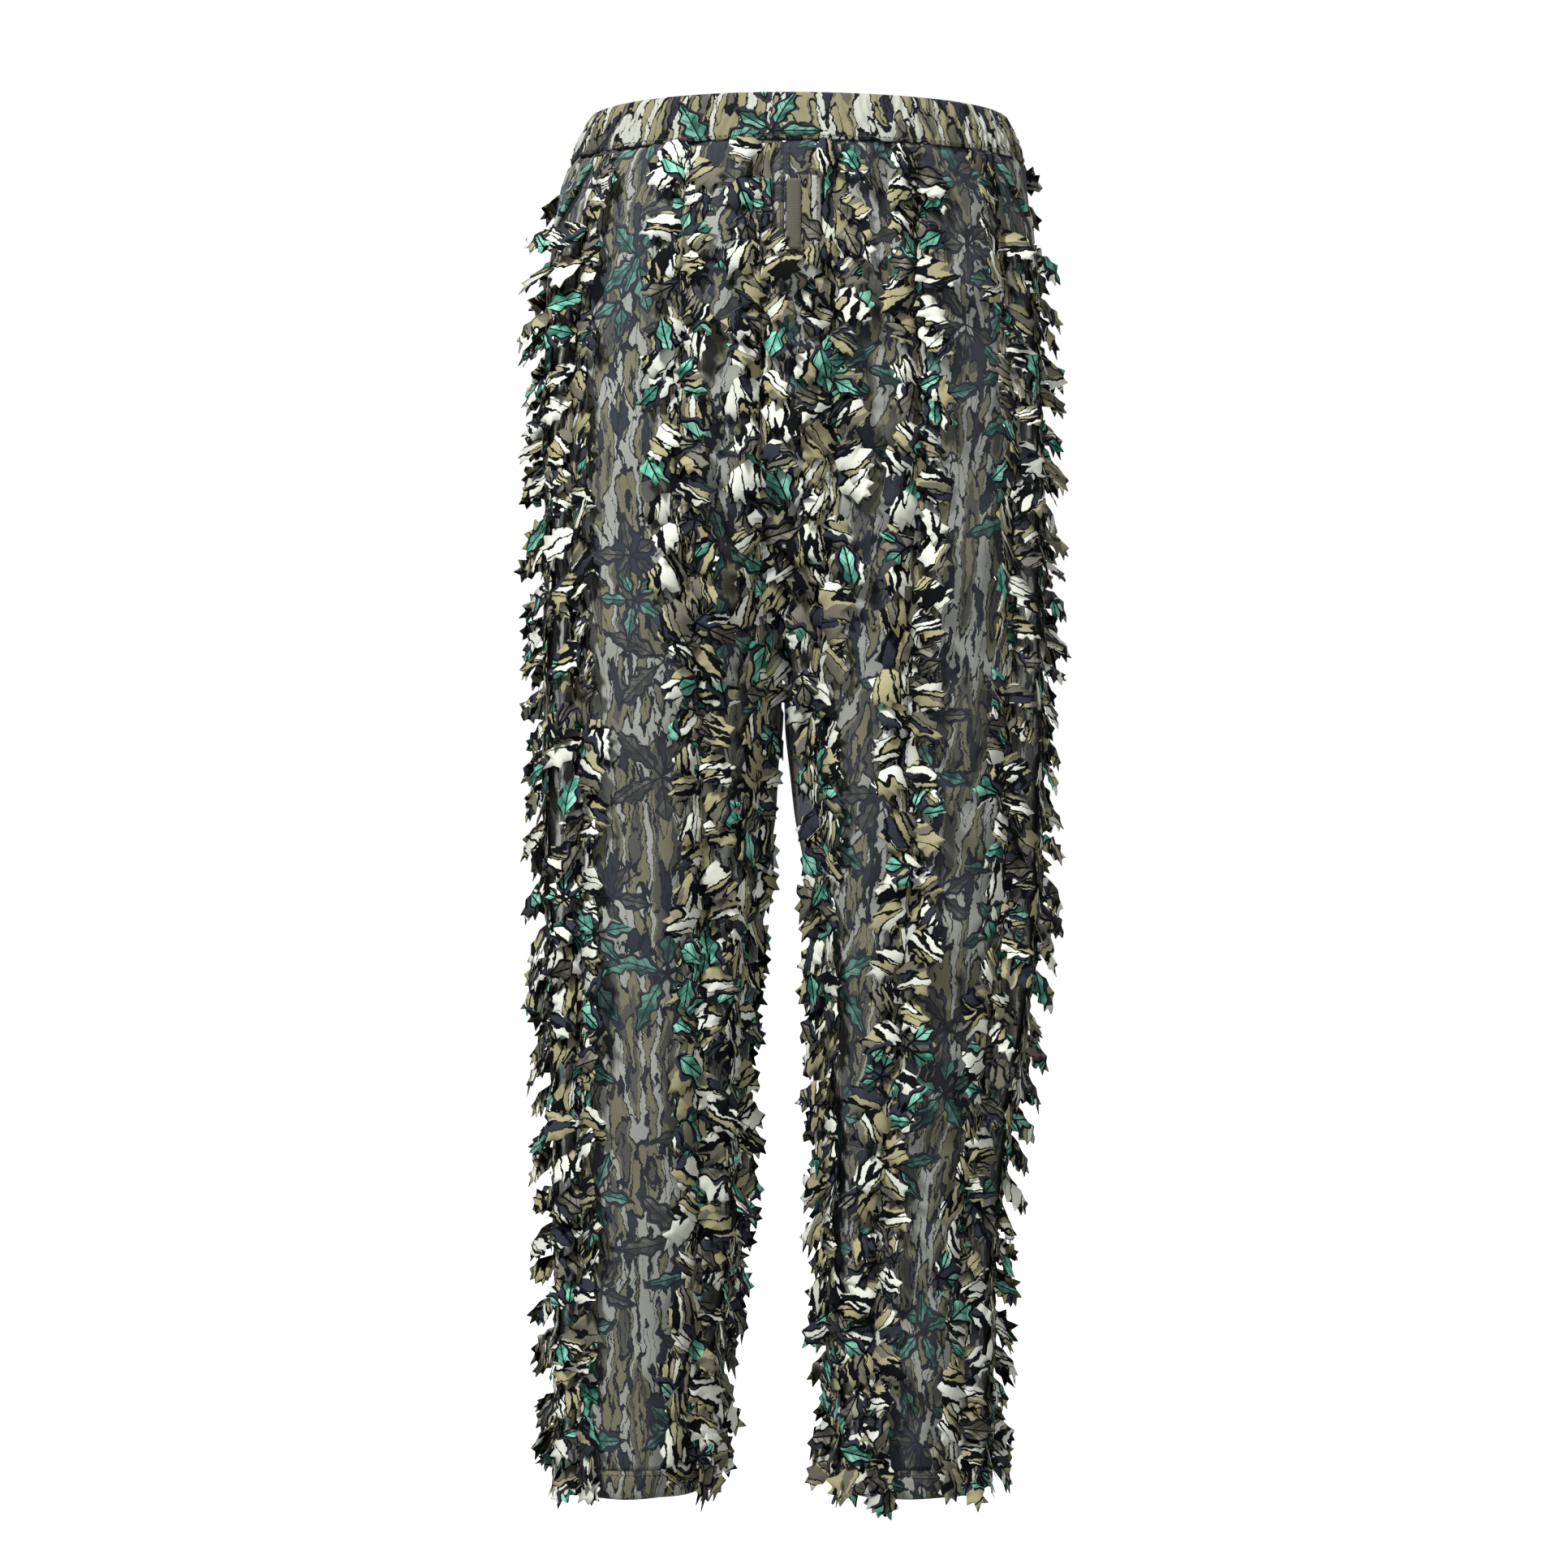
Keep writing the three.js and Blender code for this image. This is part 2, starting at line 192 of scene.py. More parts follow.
def gathers(angle, z, below):
    """Upright gathers that die away under the waistband."""
    fine = np.sin(58 * angle + 3 * np.sin(5 * angle) + 9 * z) * np.exp(-below / 0.035) * FINE_GATHER
    wide = np.sin(23 * angle + 2 * np.sin(4 * angle) + 7 * z) * np.exp(-below / 0.10) * WIDE_GATHER
    return fine + wide


def creases(points, angle, z, from_middle):
    """Drapes, and the creases at the crotch, the knee and the ankle."""
    drape = soft_noise(points * np.array([1.0, 1.0, 0.33]) + 7.3, DRAPE_SCALE) * DRAPE
    small = soft_noise(points * np.array([1.0, 1.0, 0.6]) + 3.1, SMALL_SCALE) * SMALL_FOLD
    reach = np.hypot((points[..., 0] - MIDDLE_X) * 1.3, z - CROTCH_Z)
    turn = np.arctan2(z - CROTCH_Z, from_middle)
    fan = np.sin(turn * 15) * np.exp(-reach / 0.09) * ease(0.01, 0.05, reach) * CROTCH_CREASE
    bend = z * 95 + 2.2 * np.sin(angle * 2 + 1)
    knee = np.sin(bend) * np.exp(-(((z - KNEE_Z) / 0.07) ** 2)) * KNEE_CREASE
    ankle = np.sin(z * 110 + 3 * np.sin(angle * 3)) * np.exp(-z / 0.09) * ANKLE_CREASE
    return drape + small + fan + knee + ankle


def fold_height(side, angle, z):
    """How far the cloth stands off the body."""
    angle, z = np.broadcast_arrays(np.asarray(angle, float), np.asarray(z, float))
    points = body_point(side, angle, z)
    below = np.clip(BAND_Z - z, 0, None)
    from_middle = np.abs(points[..., 0] - MIDDLE_X)
    centre = ease(0.0, 0.035, from_middle)
    joined = np.where(z > CROTCH_Z, centre, 1.0) * ease(-0.004, 0.02, below)
    beside = np.where(section(side, z)["edge"] > 0.002, 1.0, ease(0.004, 0.03, from_middle))
    folds = creases(points, angle, z, from_middle) * np.minimum(joined, beside)
    return folds + gathers(angle, z, below) * centre


def cloth_point(side, angle, z, stand=0.0):
    """Points on the leg's cloth, moved outwards by stand."""
    return body_point(side, angle, z, fold_height(side, angle, z) + stand)


def unit(vectors):
    """Directions of length 1."""
    return vectors / np.linalg.norm(vectors, axis=-1, keepdims=True)


knee_folds = fold_height("left", np.linspace(0, math.pi, 40), np.full(40, KNEE_Z))
print("folds at the knee, in mm", np.round(knee_folds[::10] * 1000, 1))

# %% [markdown]
# ## Helpers for sheets and rings
# A flat sheet starts as a grid of faces whose corners run from 0 to 1 both ways. Each corner is then
# laid where the cloth goes, and a map keeps where it was on the flat cloth, in metres. The print reads
# that map, so the pattern bends with the cloth. A ring starts as a profile that is spun round once.

# %% Sheet and ring makers
PRINT_MAP = "flat_cloth"


def new_piece(name, bm, material, smooth=True):
    """An object at the origin from a finished bmesh."""
    mesh = bpy.data.meshes.new(name)
    bm.to_mesh(mesh)
    bm.free()
    for polygon in mesh.polygons:
        polygon.use_smooth = smooth
    mesh.materials.append(material)
    piece = bpy.data.objects.new(name, mesh)
    bpy.context.collection.objects.link(piece)
    return piece


def thicken(piece, thickness, offset=-1.0):
    """Gives a sheet its thickness: inwards at -1, both ways at 0, outwards at 1."""
    solid = piece.modifiers.new("cloth thickness", "SOLIDIFY")
    solid.thickness = thickness
    solid.offset = offset
    return piece


def grid(columns, rows):
    """A grid in a bmesh, and the (u, v) of its vertices, from 0 to 1."""
    bm = bmesh.new()
    bmesh.ops.create_grid(bm, x_segments=columns, y_segments=rows, size=0.5)
    uv = np.array([vert.co[:2] for vert in bm.verts]) + 0.5
    return bm, uv


def lay(bm, places, flat):
    """Puts the vertices in their places, and keeps their flat positions in the print's map."""
    layer = bm.loops.layers.uv.new(PRINT_MAP)
    bm.verts.index_update()
    for face in bm.faces:
        for loop in face.loops:
            loop[layer].uv = flat[loop.vert.index]
    for vert in bm.verts:
        vert.co = places[vert.index]


def face_outwards(bm, side_of):
    """Turns all faces round if they point towards the middle of the body."""
    bm.normal_update()
    faces = list(bm.faces)
    total = 0
    for face in faces:
        total += face.normal.dot(face.calc_center_median() - side_of) * face.calc_area()
    if total < 0:
        bmesh.ops.reverse_faces(bm, faces=faces)


def ring(profile, segments):
    """A closed profile of (stand, z) points spun once round.

    Gives the bmesh, and each vertex's angle, stand and z."""
    far = 1.0
    bm = bmesh.new()
    verts = [bm.verts.new((far + stand, 0, z)) for stand, z in profile]
    edges = [bm.edges.new(pair) for pair in zip(verts, verts[1:])]
    edges.append(bm.edges.new((verts[-1], verts[0])))
    bmesh.ops.spin(bm, geom=verts + edges, axis=(0, 0, 1), cent=(0, 0, 0), angle=math.tau,
                   steps=segments, use_merge=True)
    bmesh.ops.recalc_face_normals(bm, faces=bm.faces)
    co = np.array([vert.co for vert in bm.verts])
    return bm, np.arctan2(co[:, 1], co[:, 0]), np.hypot(co[:, 0], co[:, 1]) - far, co[:, 2]


# %% [markdown]
# ## The print
# The whole garment is cut from one printed cloth: upright strokes of bark in cream, olive, brown and
# navy with black edges, and oak-like leaves in teal and grey-brown drawn over it. A print like this has
# a few flat inks, so they are listed first. Shader nodes are many and small: a class with one method
# for each kind of node keeps the recipes that follow short.

# %% Shader helpers
INKS = {
    "cream": (0.500, 0.515, 0.450),
    "olive": (0.255, 0.236, 0.132),
    "umber": (0.110, 0.105, 0.080),
    "brown": (0.040, 0.038, 0.029),
    "dust": (0.230, 0.220, 0.180),
    "navy": (0.022, 0.025, 0.035),
    "black": (0.002, 0.0025, 0.003),
    "mint": (0.185, 0.430, 0.335),
    "teal": (0.066, 0.235, 0.170),
    "forest": (0.020, 0.085, 0.063),
}


class Ink:
    """Builds one material's nodes. Sockets and numbers go in, sockets come out."""

    def __init__(self, name):
        self.material = bpy.data.materials.new(name)
        self.material.use_nodes = True
        self.tree = self.material.node_tree
        self.shader = self.tree.nodes["Principled BSDF"]

    def node(self, kind, settings=None, **inputs):
        """A node with its settings, and its inputs by name."""
        made = self.tree.nodes.new(kind)
        for name, value in (settings or {}).items():
            setattr(made, name, value)
        for name, value in inputs.items():
            self.put(made.inputs[name], value)
        return made

    def put(self, socket, value):
        """Links a socket, or sets its number, vector or colour."""
        if isinstance(value, bpy.types.NodeSocket):
            self.tree.links.new(value, socket)
        elif hasattr(value, "__len__") and len(value) == 3 and socket.type == "RGBA":
            socket.default_value = (*value, 1)
        else:
            socket.default_value = value

    def operate(self, kind, operation, values):
        made = self.node(kind, {"operation": operation})
        for socket, value in zip(made.inputs, values):
            self.put(socket, value)
        return made.outputs[0]

    def math(self, operation, *values):
        return self.operate("ShaderNodeMath", operation, values)

    def vector(self, operation, *values):
        return self.operate("ShaderNodeVectorMath", operation, values)

    def steps(self, value, stops, hard=True):
        """A colour ramp through (position, ink) stops."""
        made = self.tree.nodes.new("ShaderNodeValToRGB")
        ramp = made.color_ramp
        ramp.interpolation = "CONSTANT" if hard else "LINEAR"
        while len(ramp.elements) < len(stops):
            ramp.elements.new(1.0)
        for element, (position, ink) in zip(ramp.elements, stops):
            element.position = position
            element.color = (*INKS[ink], 1)
        self.put(made.inputs[0], value)
        return made.outputs[0]

    def mix(self, share, low, high):
        """Low where share is 0, high where it is 1. A Mix node's sockets 6 and 7 are its colours."""
        made = self.tree.nodes.new("ShaderNodeMix")
        made.data_type = "RGBA"
        self.put(made.inputs[0], share)
        self.put(made.inputs[6], low)
        self.put(made.inputs[7], high)
        return made.outputs[2]

    def noise(self, vector, scale, detail=2.0):
        return self.node("ShaderNodeTexNoise", Vector=vector, Scale=scale, Detail=detail).outputs[0]


# %% [markdown]
# ## Bark
# Noise that is stretched upwards makes long strokes, and a colour ramp with hard steps turns it into
# flat inks. Narrow steps of black between the inks draw the outlines. A second noise adds navy strokes,
# a third thin black cracks. All three read a place that is shaken a little first, so that no edge is
# smooth.

# %% Bark strokes
def bark(ink, place, ragged, cracked):
    """Upright strokes of flat ink with ragged black edges."""
    wobble = ink.node("ShaderNodeTexNoise", Vector=place, Scale=42.0, Detail=5.0, Roughness=0.68)
    away = ink.vector("SUBTRACT", wobble.outputs[1], (0.5, 0.5, 0.5))
    moved = ink.vector("ADD", place, ink.vector("MULTIPLY", away, (ragged, ragged, 0.0)))
    wide = ink.noise(ink.vector("MULTIPLY", moved, (46.0, 9.5, 1.0)), 1.0, 1.5)
    ground = ink.steps(wide, [
        (0.0, "umber"), (0.330, "black"), (0.348, "olive"), (0.425, "black"), (0.443, "cream"),
        (0.528, "black"), (0.546, "olive"), (0.580, "umber"), (0.645, "black"), (0.660, "olive"),
    ])
    strokes = ink.noise(ink.vector("MULTIPLY_ADD", moved, (84.0, 20.0, 1.0), (40.0, 9.0, 0.0)), 1.0, 1.5)
    dark = ink.steps(strokes, [(0.0, "black"), (0.618, "navy")])
    ground = ink.mix(ink.math("GREATER_THAN", strokes, 0.596), ground, dark)
    cracks = ink.noise(ink.vector("MULTIPLY_ADD", moved, (120.0, 19.0, 1.0), (7.0, 3.0, 5.0)), 1.0, 1.0)
    near = ink.math("ABSOLUTE", ink.math("SUBTRACT", cracks, 0.53))
    return ink.mix(ink.math("LESS_THAN", near, cracked), ground, INKS["black"])


# %% [markdown]
# ## Printed leaves
# Sprays of oak-like leaves lie over the bark. A Voronoi texture gives every cell a centre and a random
# colour. The directions round that centre are shared out between five leaves. How far a point is along
# and beside its leaf is then compared with a lobed outline, and the same two distances draw the rib and
# the veins.

# %% Printed leaves
LEAVES_ROUND = 5
LOBE_LENGTH = 0.0115
DRAWN_LINE, RIB_LINE = 0.0007, 0.0005


def leaf_sprays(ink, place, ground, cell, share, seed):
    """Draws a spray of up to five lobed leaves round the middle of a share of the cells."""
    moved = ink.vector("ADD", place, (seed, 1.7 * seed, 0.0))
    voronoi = ink.node("ShaderNodeTexVoronoi", {"voronoi_dimensions": "2D"},
                       Vector=moved, Scale=1 / cell, Randomness=0.75)
    offset = ink.vector("SUBTRACT", moved, voronoi.outputs["Position"])
    chance = ink.node("ShaderNodeSeparateColor", Color=voronoi.outputs["Color"]).outputs
    parts = ink.node("ShaderNodeSeparateXYZ", Vector=offset).outputs
    reach = ink.node("ShaderNodeVectorMath", {"operation": "LENGTH"})
    ink.put(reach.inputs[0], offset)
    reach = reach.outputs["Value"]
    turns = ink.math("ARCTAN2", parts[1], parts[0])
    turns = ink.math("MULTIPLY_ADD", turns, LEAVES_ROUND / math.tau, 0.5)
    turns = ink.math("MULTIPLY_ADD", chance[0], LEAVES_ROUND, turns)
    sector = ink.math("FLOOR", turns)
    angle = ink.math("SUBTRACT", ink.math("SUBTRACT", turns, sector), 0.5)
    angle = ink.math("MULTIPLY", angle, math.tau / LEAVES_ROUND)
    which = ink.node("ShaderNodeCombineXYZ", X=ink.math("FLOORED_MODULO", sector, LEAVES_ROUND),
                     Y=ink.math("MULTIPLY", chance[0], 17.0), Z=ink.math("MULTIPLY", chance[1], 23.0))
    dice_node = ink.node("ShaderNodeTexWhiteNoise", Vector=which.outputs[0])
    own = ink.node("ShaderNodeSeparateColor", Color=dice_node.outputs["Color"]).outputs
    along = ink.math("MULTIPLY", reach, ink.math("COSINE", angle))
    bow = ink.math("MULTIPLY", ink.math("SUBTRACT", own[0], 0.5), ink.math("MULTIPLY", along, along))
    side = ink.math("MULTIPLY_ADD", bow, 9.0, ink.math("MULTIPLY", reach, ink.math("SINE", angle)))
    across = ink.math("ABSOLUTE", side)
    length = ink.math("MULTIPLY_ADD", own[1], 0.17 * cell, 0.42 * cell)
    share_along = ink.math("DIVIDE", along, length)
    from_stem = ink.math("DIVIDE", ink.math("SUBTRACT", share_along, 0.16), 0.84)
    from_stem = ink.math("MINIMUM", ink.math("MAXIMUM", from_stem, 0.0), 1.0)
    swell = ink.math("SINE", ink.math("MULTIPLY", ink.math("POWER", from_stem, 0.8), math.pi))
    phase = ink.math("MULTIPLY", own[2], 6.0)
    wave = ink.math("SINE", ink.math("MULTIPLY_ADD", along, math.tau / LOBE_LENGTH, phase))
    width = ink.math("MULTIPLY", swell, ink.math("MULTIPLY_ADD", wave, 0.018 * cell, 0.070 * cell))
    outline = ink.math("SUBTRACT", across, width)
    inside = ink.math("LESS_THAN", outline, 0.0)
    reached = ink.math("LESS_THAN", share_along, 1.0)
    edge = ink.math("LESS_THAN", ink.math("ABSOLUTE", outline), DRAWN_LINE)
    edge = ink.math("MULTIPLY", edge, reached)
    rib = ink.math("MULTIPLY", ink.math("LESS_THAN", across, RIB_LINE), inside)
    slope = ink.math("MULTIPLY_ADD", across, -1.3, along)
    slope = ink.math("FRACT", ink.math("MULTIPLY", slope, 1 / (0.085 * cell)))
    vein = ink.math("MULTIPLY", ink.math("LESS_THAN", slope, 0.10), inside)
    smudge = ink.noise(moved, 75.0, 3.0)
    shade = ink.math("MULTIPLY_ADD", ink.math("GREATER_THAN", side, 0.0), 0.09, smudge)
    greens = [(0.0, "forest"), (0.42, "forest"), (0.53, "teal"), (0.66, "mint")]
    green = ink.steps(shade, greens, hard=False)
    browns = [(0.0, "brown"), (0.45, "brown"), (0.60, "umber"), (0.72, "dust")]
    dry = ink.steps(shade, browns, hard=False)
    fill = ink.mix(ink.math("GREATER_THAN", chance[1], 0.42), dry, green)
    lines = ink.math("MAXIMUM", ink.math("MAXIMUM", edge, vein), rib)
    drawn = ink.mix(lines, fill, INKS["black"])
    shown = ink.math("LESS_THAN", chance[2], share)
    shown = ink.math("MULTIPLY", shown, ink.math("LESS_THAN", own[2], 0.86))
    hatch = ink.math("MULTIPLY_ADD", smudge, 0.016, -0.0062)
    shadow = ink.math("LESS_THAN", outline, hatch)
    shadow = ink.math("MULTIPLY", shadow, ink.math("LESS_THAN", share_along, 1.08))
    ground = ink.mix(ink.math("MULTIPLY", shown, shadow), ground, INKS["navy"])
    return ink.mix(ink.math("MULTIPLY", shown, ink.math("MAXIMUM", inside, edge)), ground, drawn)


# %% [markdown]
# ## Four finishes from one print
# The shell cloth is semi-sheer, so its inks look veiled with grey, and the hem, where it lies double,
# looks darker. The leaf cloth is crisp and full in colour. The waistband, fly and pocket edges are the
# same print on a closer weave. All of them get a weave in the bump and a little fading at a larger
# scale, and the thin cloths have more sheen than the close ones.

# %% Cloth materials
VEIL = (0.034, 0.039, 0.048)
SHEEN_TINT = (0.86, 0.88, 1.0, 1)
ROUGHNESS = 0.86


def scaled(ink, colour, factor):
    """A colour made lighter or darker by a factor."""
    made = ink.node("ShaderNodeVectorMath", {"operation": "SCALE"}, Scale=factor)
    ink.put(made.inputs[0], colour)
    return made.outputs[0]


def printed_cloth(name, strength, veil, weave, bump, sheen, ragged=0.016, cracked=0.015, tone=None):
    """The print on one cloth.

    strength is how bright its inks are, veil how much grey lies over them, weave a thread's width,
    ragged and cracked how rough the bark is, and tone the attribute that shades each leaf."""
    ink = Ink(name)
    place = ink.node("ShaderNodeUVMap", {"uv_map": PRINT_MAP}).outputs[0]
    colour = bark(ink, place, ragged, cracked)
    colour = leaf_sprays(ink, place, colour, 0.088, 0.62, 3.0)
    colour = leaf_sprays(ink, place, colour, 0.062, 0.38, 11.0)
    faded = ink.math("MULTIPLY_ADD", ink.noise(place, 16.0, 3.0), 0.45 * strength, 0.78 * strength)
    colour = scaled(ink, colour, faded)
    if tone:
        shade = ink.node("ShaderNodeAttribute", {"attribute_name": tone}).outputs["Fac"]
        colour = scaled(ink, colour, shade)
    colour = ink.mix(veil, colour, VEIL)
    threads = ink.vector("MULTIPLY", place, (math.tau / weave,) * 3)
    parts = ink.node("ShaderNodeSeparateXYZ", Vector=threads).outputs
    cloth = ink.math("MULTIPLY", ink.math("SINE", parts[0]), ink.math("SINE", parts[1]))
    colour = scaled(ink, colour, ink.math("MULTIPLY_ADD", cloth, 0.07, 1.0))
    ink.put(ink.shader.inputs["Base Color"], colour)
    relief = ink.math("MULTIPLY_ADD", ink.noise(place, 420.0, 2.0), 1.6, cloth)
    bumped = ink.node("ShaderNodeBump", Strength=bump, Distance=0.0006, Height=relief)
    ink.put(ink.shader.inputs["Normal"], bumped.outputs[0])
    worn = ink.math("MULTIPLY_ADD", ink.noise(place, 30.0, 2.0), 0.16, ROUGHNESS - 0.08)
    ink.put(ink.shader.inputs["Roughness"], worn)
    ink.shader.inputs["Sheen Weight"].default_value = sheen
    ink.shader.inputs["Sheen Roughness"].default_value = 0.45
    ink.shader.inputs["Sheen Tint"].default_value = SHEEN_TINT
    ink.shader.inputs["Specular IOR Level"].default_value = 0.06
    return ink.material


shell_cloth = printed_cloth("sheer_shell_cloth", 0.90, 0.50, 0.0011, 0.35, 0.20)
band_cloth = printed_cloth("waistband_cloth", 0.74, 0.10, 0.0007, 0.25, 0.05, 0.012)
hem_cloth = printed_cloth("hem_cloth", 0.72, 0.40, 0.0009, 0.3, 0.2)
leaf_cloth = printed_cloth("leaf_cloth", 0.99, 0.0, 0.0007, 0.2, 0.01, 0.012, 0.029, "leaf_tone")
print("materials", [cloth.name for cloth in (shell_cloth, band_cloth, hem_cloth, leaf_cloth)])

# %% [markdown]
# ## Leg panels
# A pair of trousers has four leg panels, a front and a back for each leg, sewn along the side seam, the
# inseam and the centre seam. Above the crotch a panel's inner edge lies on the centre seam. Below it,
# the same edge runs down the inside of the leg. One grid per panel is laid round the leg, then
# thickened inwards. The cut is a little larger than the grid, for what the folds and the seams take up.

# %% Four leg panels
SHELL_THICKNESS = 0.0007
PANEL_COLUMNS, PANEL_ROWS = 84, 250
UNDER_BAND = 0.004
WIDTH_SLACK, LENGTH_SLACK = 1.06, 1.02
RIGHT_PRINT = 0.7


def panel(side, front):
    """One of the four panels, from the hem to just under the waistband."""
    bm, uv = grid(PANEL_COLUMNS, PANEL_ROWS)
    z = HEM_Z + SEAM_GAP + (BAND_Z + UNDER_BAND - HEM_Z) * uv[:, 1]
    leg = section(side, z)
    seam = SEAM_GAP / 2 / leg["deep"]
    start = np.maximum(seam, angle_at(leg, SEAM_GAP / 2) * ease(CROTCH_Z, CROTCH_Z + CROTCH_CURVE, z))
    angle = start + (math.pi - seam - start) * uv[:, 0]
    across = np.hypot(leg["across"], leg["deep"]) / math.sqrt(2) * (math.pi - angle)
    turn = 1 if front else -1
    print_x = turn * across if side == "left" else RIGHT_PRINT - turn * across
    under = np.where(z > BAND_Z - 0.002, -0.0022, 0.0)
    lay(bm, cloth_point(side, turn * angle, z, under), np.stack([print_x, z], axis=-1))
    inside_leg = MIDDLE_X + (-0.1 if side == "right" else 0.1)
    face_outwards(bm, Vector((inside_leg, MIDDLE_Y, 0.5)))
    name = ("front_leg_cloth_" if front else "back_leg_cloth_") + side
    area = sum(face.calc_area() for face in bm.faces)
    piece = thicken(new_piece(name, bm, shell_cloth), SHELL_THICKNESS)
    width = float(across.max() - across.min()) * WIDTH_SLACK
    length = float(np.ptp(z)) * LENGTH_SLACK
    area = min(area, width * length)
    print(name, "cut", round(width, 3), "by", round(length, 3), "m, flat area", round(area, 3))
    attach(piece, "root")
    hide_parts(("front_panel_" if front else "back_panel_") + side)
    return piece


panels = {(side, front): panel(side, front) for side in SIDES for front in (True, False)}
print("panels", len(panels), "of", (PANEL_COLUMNS + 1) * (PANEL_ROWS + 1), "points each")

# %% [markdown]
# ## Centre seam
# The two halves are sewn together from the back of the waist, under the crotch and up the front.
# Inside, the seam's two edges are pressed open and lie along it. One narrow tape stands for both: it
# follows the seam a little inside the cloth.

# %% Tape along the centre seam
SEAM_TAPE = 0.013
TAPE_INSIDE = 0.0022


def seam_line(z, front):
    """Where the centre seam is at height z, halfway between the two panels' edges."""
    heights = []
    for side in ("left", "right"):
        leg = section(side, z)
        angle = angle_at(leg, SEAM_GAP / 2) * ease(CROTCH_Z, CROTCH_Z + CROTCH_CURVE, z)
        heights.append(leg["y"] - leg["deep"] * np.sin(angle if front else -angle))
    return np.stack([MIDDLE_Y + (heights[0] + heights[1]) / 2, z], axis=-1)


def seam_tape():
    """The tape, bent along the seam from the back of the waist to its front."""
    down = CROTCH_Z + (BAND_Z - 0.004 - CROTCH_Z) * np.linspace(1, 0, 120) ** 2
    line = np.concatenate([seam_line(down, False), seam_line(down[::-1][1:], True)])
    ahead = unit(np.gradient(line, axis=0))
    inward = np.stack([ahead[:, 1], -ahead[:, 0]], axis=-1)
    middle = np.array([MIDDLE_Y, (CROTCH_Z + BAND_Z) / 2])
    inward = inward * np.sign(((middle - line) * inward).sum(axis=-1, keepdims=True))
    line = line + TAPE_INSIDE * inward
    rows = len(line) - 1
    bm, uv = grid(4, rows)
    row = np.rint(uv[:, 1] * rows).astype(int)
    x = (uv[:, 0] - 0.5) * SEAM_TAPE
    travelled = np.concatenate([[0], np.cumsum(np.linalg.norm(np.diff(line, axis=0), axis=1))])
    places = np.stack([MIDDLE_X + x, line[row, 0], line[row, 1]], axis=-1)
    lay(bm, places, np.stack([x + 5.0, travelled[row]], axis=-1))
    face_outwards(bm, Vector((MIDDLE_X, MIDDLE_Y, 0.9)))
    piece = thicken(new_piece("centre_seam_tape_cloth", bm, shell_cloth), 0.0005)
    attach(piece, "root")


seam_tape()

# %% [markdown]
# ## Waistband
# The waistband is a casing: a strip of cloth folded over a wide elastic and sewn down below it. The
# strip is longer than the elastic, so it gathers in fine upright puckers, deeper at the sides than at
# the front. The casing is one closed profile spun round, with a hollow between its two walls for the
# elastic.

# %% Waistband casing
BAND_SEGMENTS = 720
CASING_DEEP = 0.0066
WAIST_PRINT = 0.125
PUCKER = 0.0013


def waist_point(angle, stand, z):
    """Points round the waist: angle 0 is at the wearer's left side, and a quarter turn is the back."""
    left, right = section("left", z), section("right", z)
    across = np.where(np.cos(angle) < 0, right["outer"], left["outer"])
    out_x, out_y = np.cos(angle) / across, np.sin(angle) / left["deep"]
    size = np.hypot(out_x, out_y)
    x = across * np.cos(angle) + out_x / size * stand
    y = left["y"] + left["deep"] * np.sin(angle) + out_y / size * stand
    return np.stack([MIDDLE_X + x, MIDDLE_Y + y, z], axis=-1)


def pucker(angle, z):
    """The height of the gathers round the waist."""
    sides = 0.35 + 0.65 * np.abs(np.cos(angle)) ** 1.5
    lean = 3 * np.sin(z * 120 + 5 * angle)
    fine = np.sin(150 * angle + 2.5 * np.sin(11 * angle) + lean)
    fine = fine + 0.6 * np.sin(97 * angle + 3 * np.sin(7 * angle) - lean)
    held = np.sin(np.clip((z - BAND_Z) / (TOP_Z - BAND_Z), 0, 1) * math.pi) * 0.5 + 0.5
    return PUCKER * fine * sides * held


def close_seam(bm):
    """Where the print's map jumps from one end of the cloth to the other, carries it on instead."""
    layer = bm.loops.layers.uv[PRINT_MAP]
    turn = WAIST_PRINT * math.tau
    for face in bm.faces:
        across = [loop[layer].uv.x for loop in face.loops]
        if max(across) - min(across) > turn / 2:
            for loop in face.loops:
                if loop[layer].uv.x < 0:
                    loop[layer].uv.x += turn


def waistband():
    """The casing: its outside, the fold at the top, its inside, and the hollow."""
    height = TOP_Z - BAND_Z
    walls = np.linspace(0, 1, 13)
    outside = [(0.0006 + 0.0010 * math.sin(math.pi * t), BAND_Z + (height - 0.002) * t) for t in walls]
    fold = [(-0.0016, TOP_Z - 0.0003), (-0.0033, TOP_Z), (-0.0050, TOP_Z - 0.0003)]
    inside = [(-CASING_DEEP, TOP_Z - 0.002), (-CASING_DEEP, BAND_Z + height / 2), (-CASING_DEEP, BAND_Z)]
    inner_face = [(-CASING_DEEP + 0.0007, BAND_Z), (-CASING_DEEP + 0.0007, TOP_Z - 0.0035)]
    outer_face = [(-0.0004, TOP_Z - 0.0035), (-0.0004, BAND_Z)]
    profile = outside + fold + inside + inner_face + outer_face
    bm, angle, stand, z = ring(profile, BAND_SEGMENTS)
    moved = np.where(stand > -0.0002, 1.0, np.where(stand < -CASING_DEEP + 0.0002, 0.6, 0.3))
    places = waist_point(angle, stand + pucker(angle, z) * moved, z)
    around = WAIST_PRINT * angle
    lay(bm, places, np.stack([around, z + np.where(stand < -0.0033, 0.04, 0)], axis=-1))
    close_seam(bm)
    area = sum(face.calc_area() for face in bm.faces) / 2
    piece = new_piece("waistband_gathered_cloth", bm, band_cloth)
    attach(piece, "root")
    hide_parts("waistband_casing")
    return piece


waist_piece = waistband()
print("waistband", len(waist_piece.data.polygons), "faces")

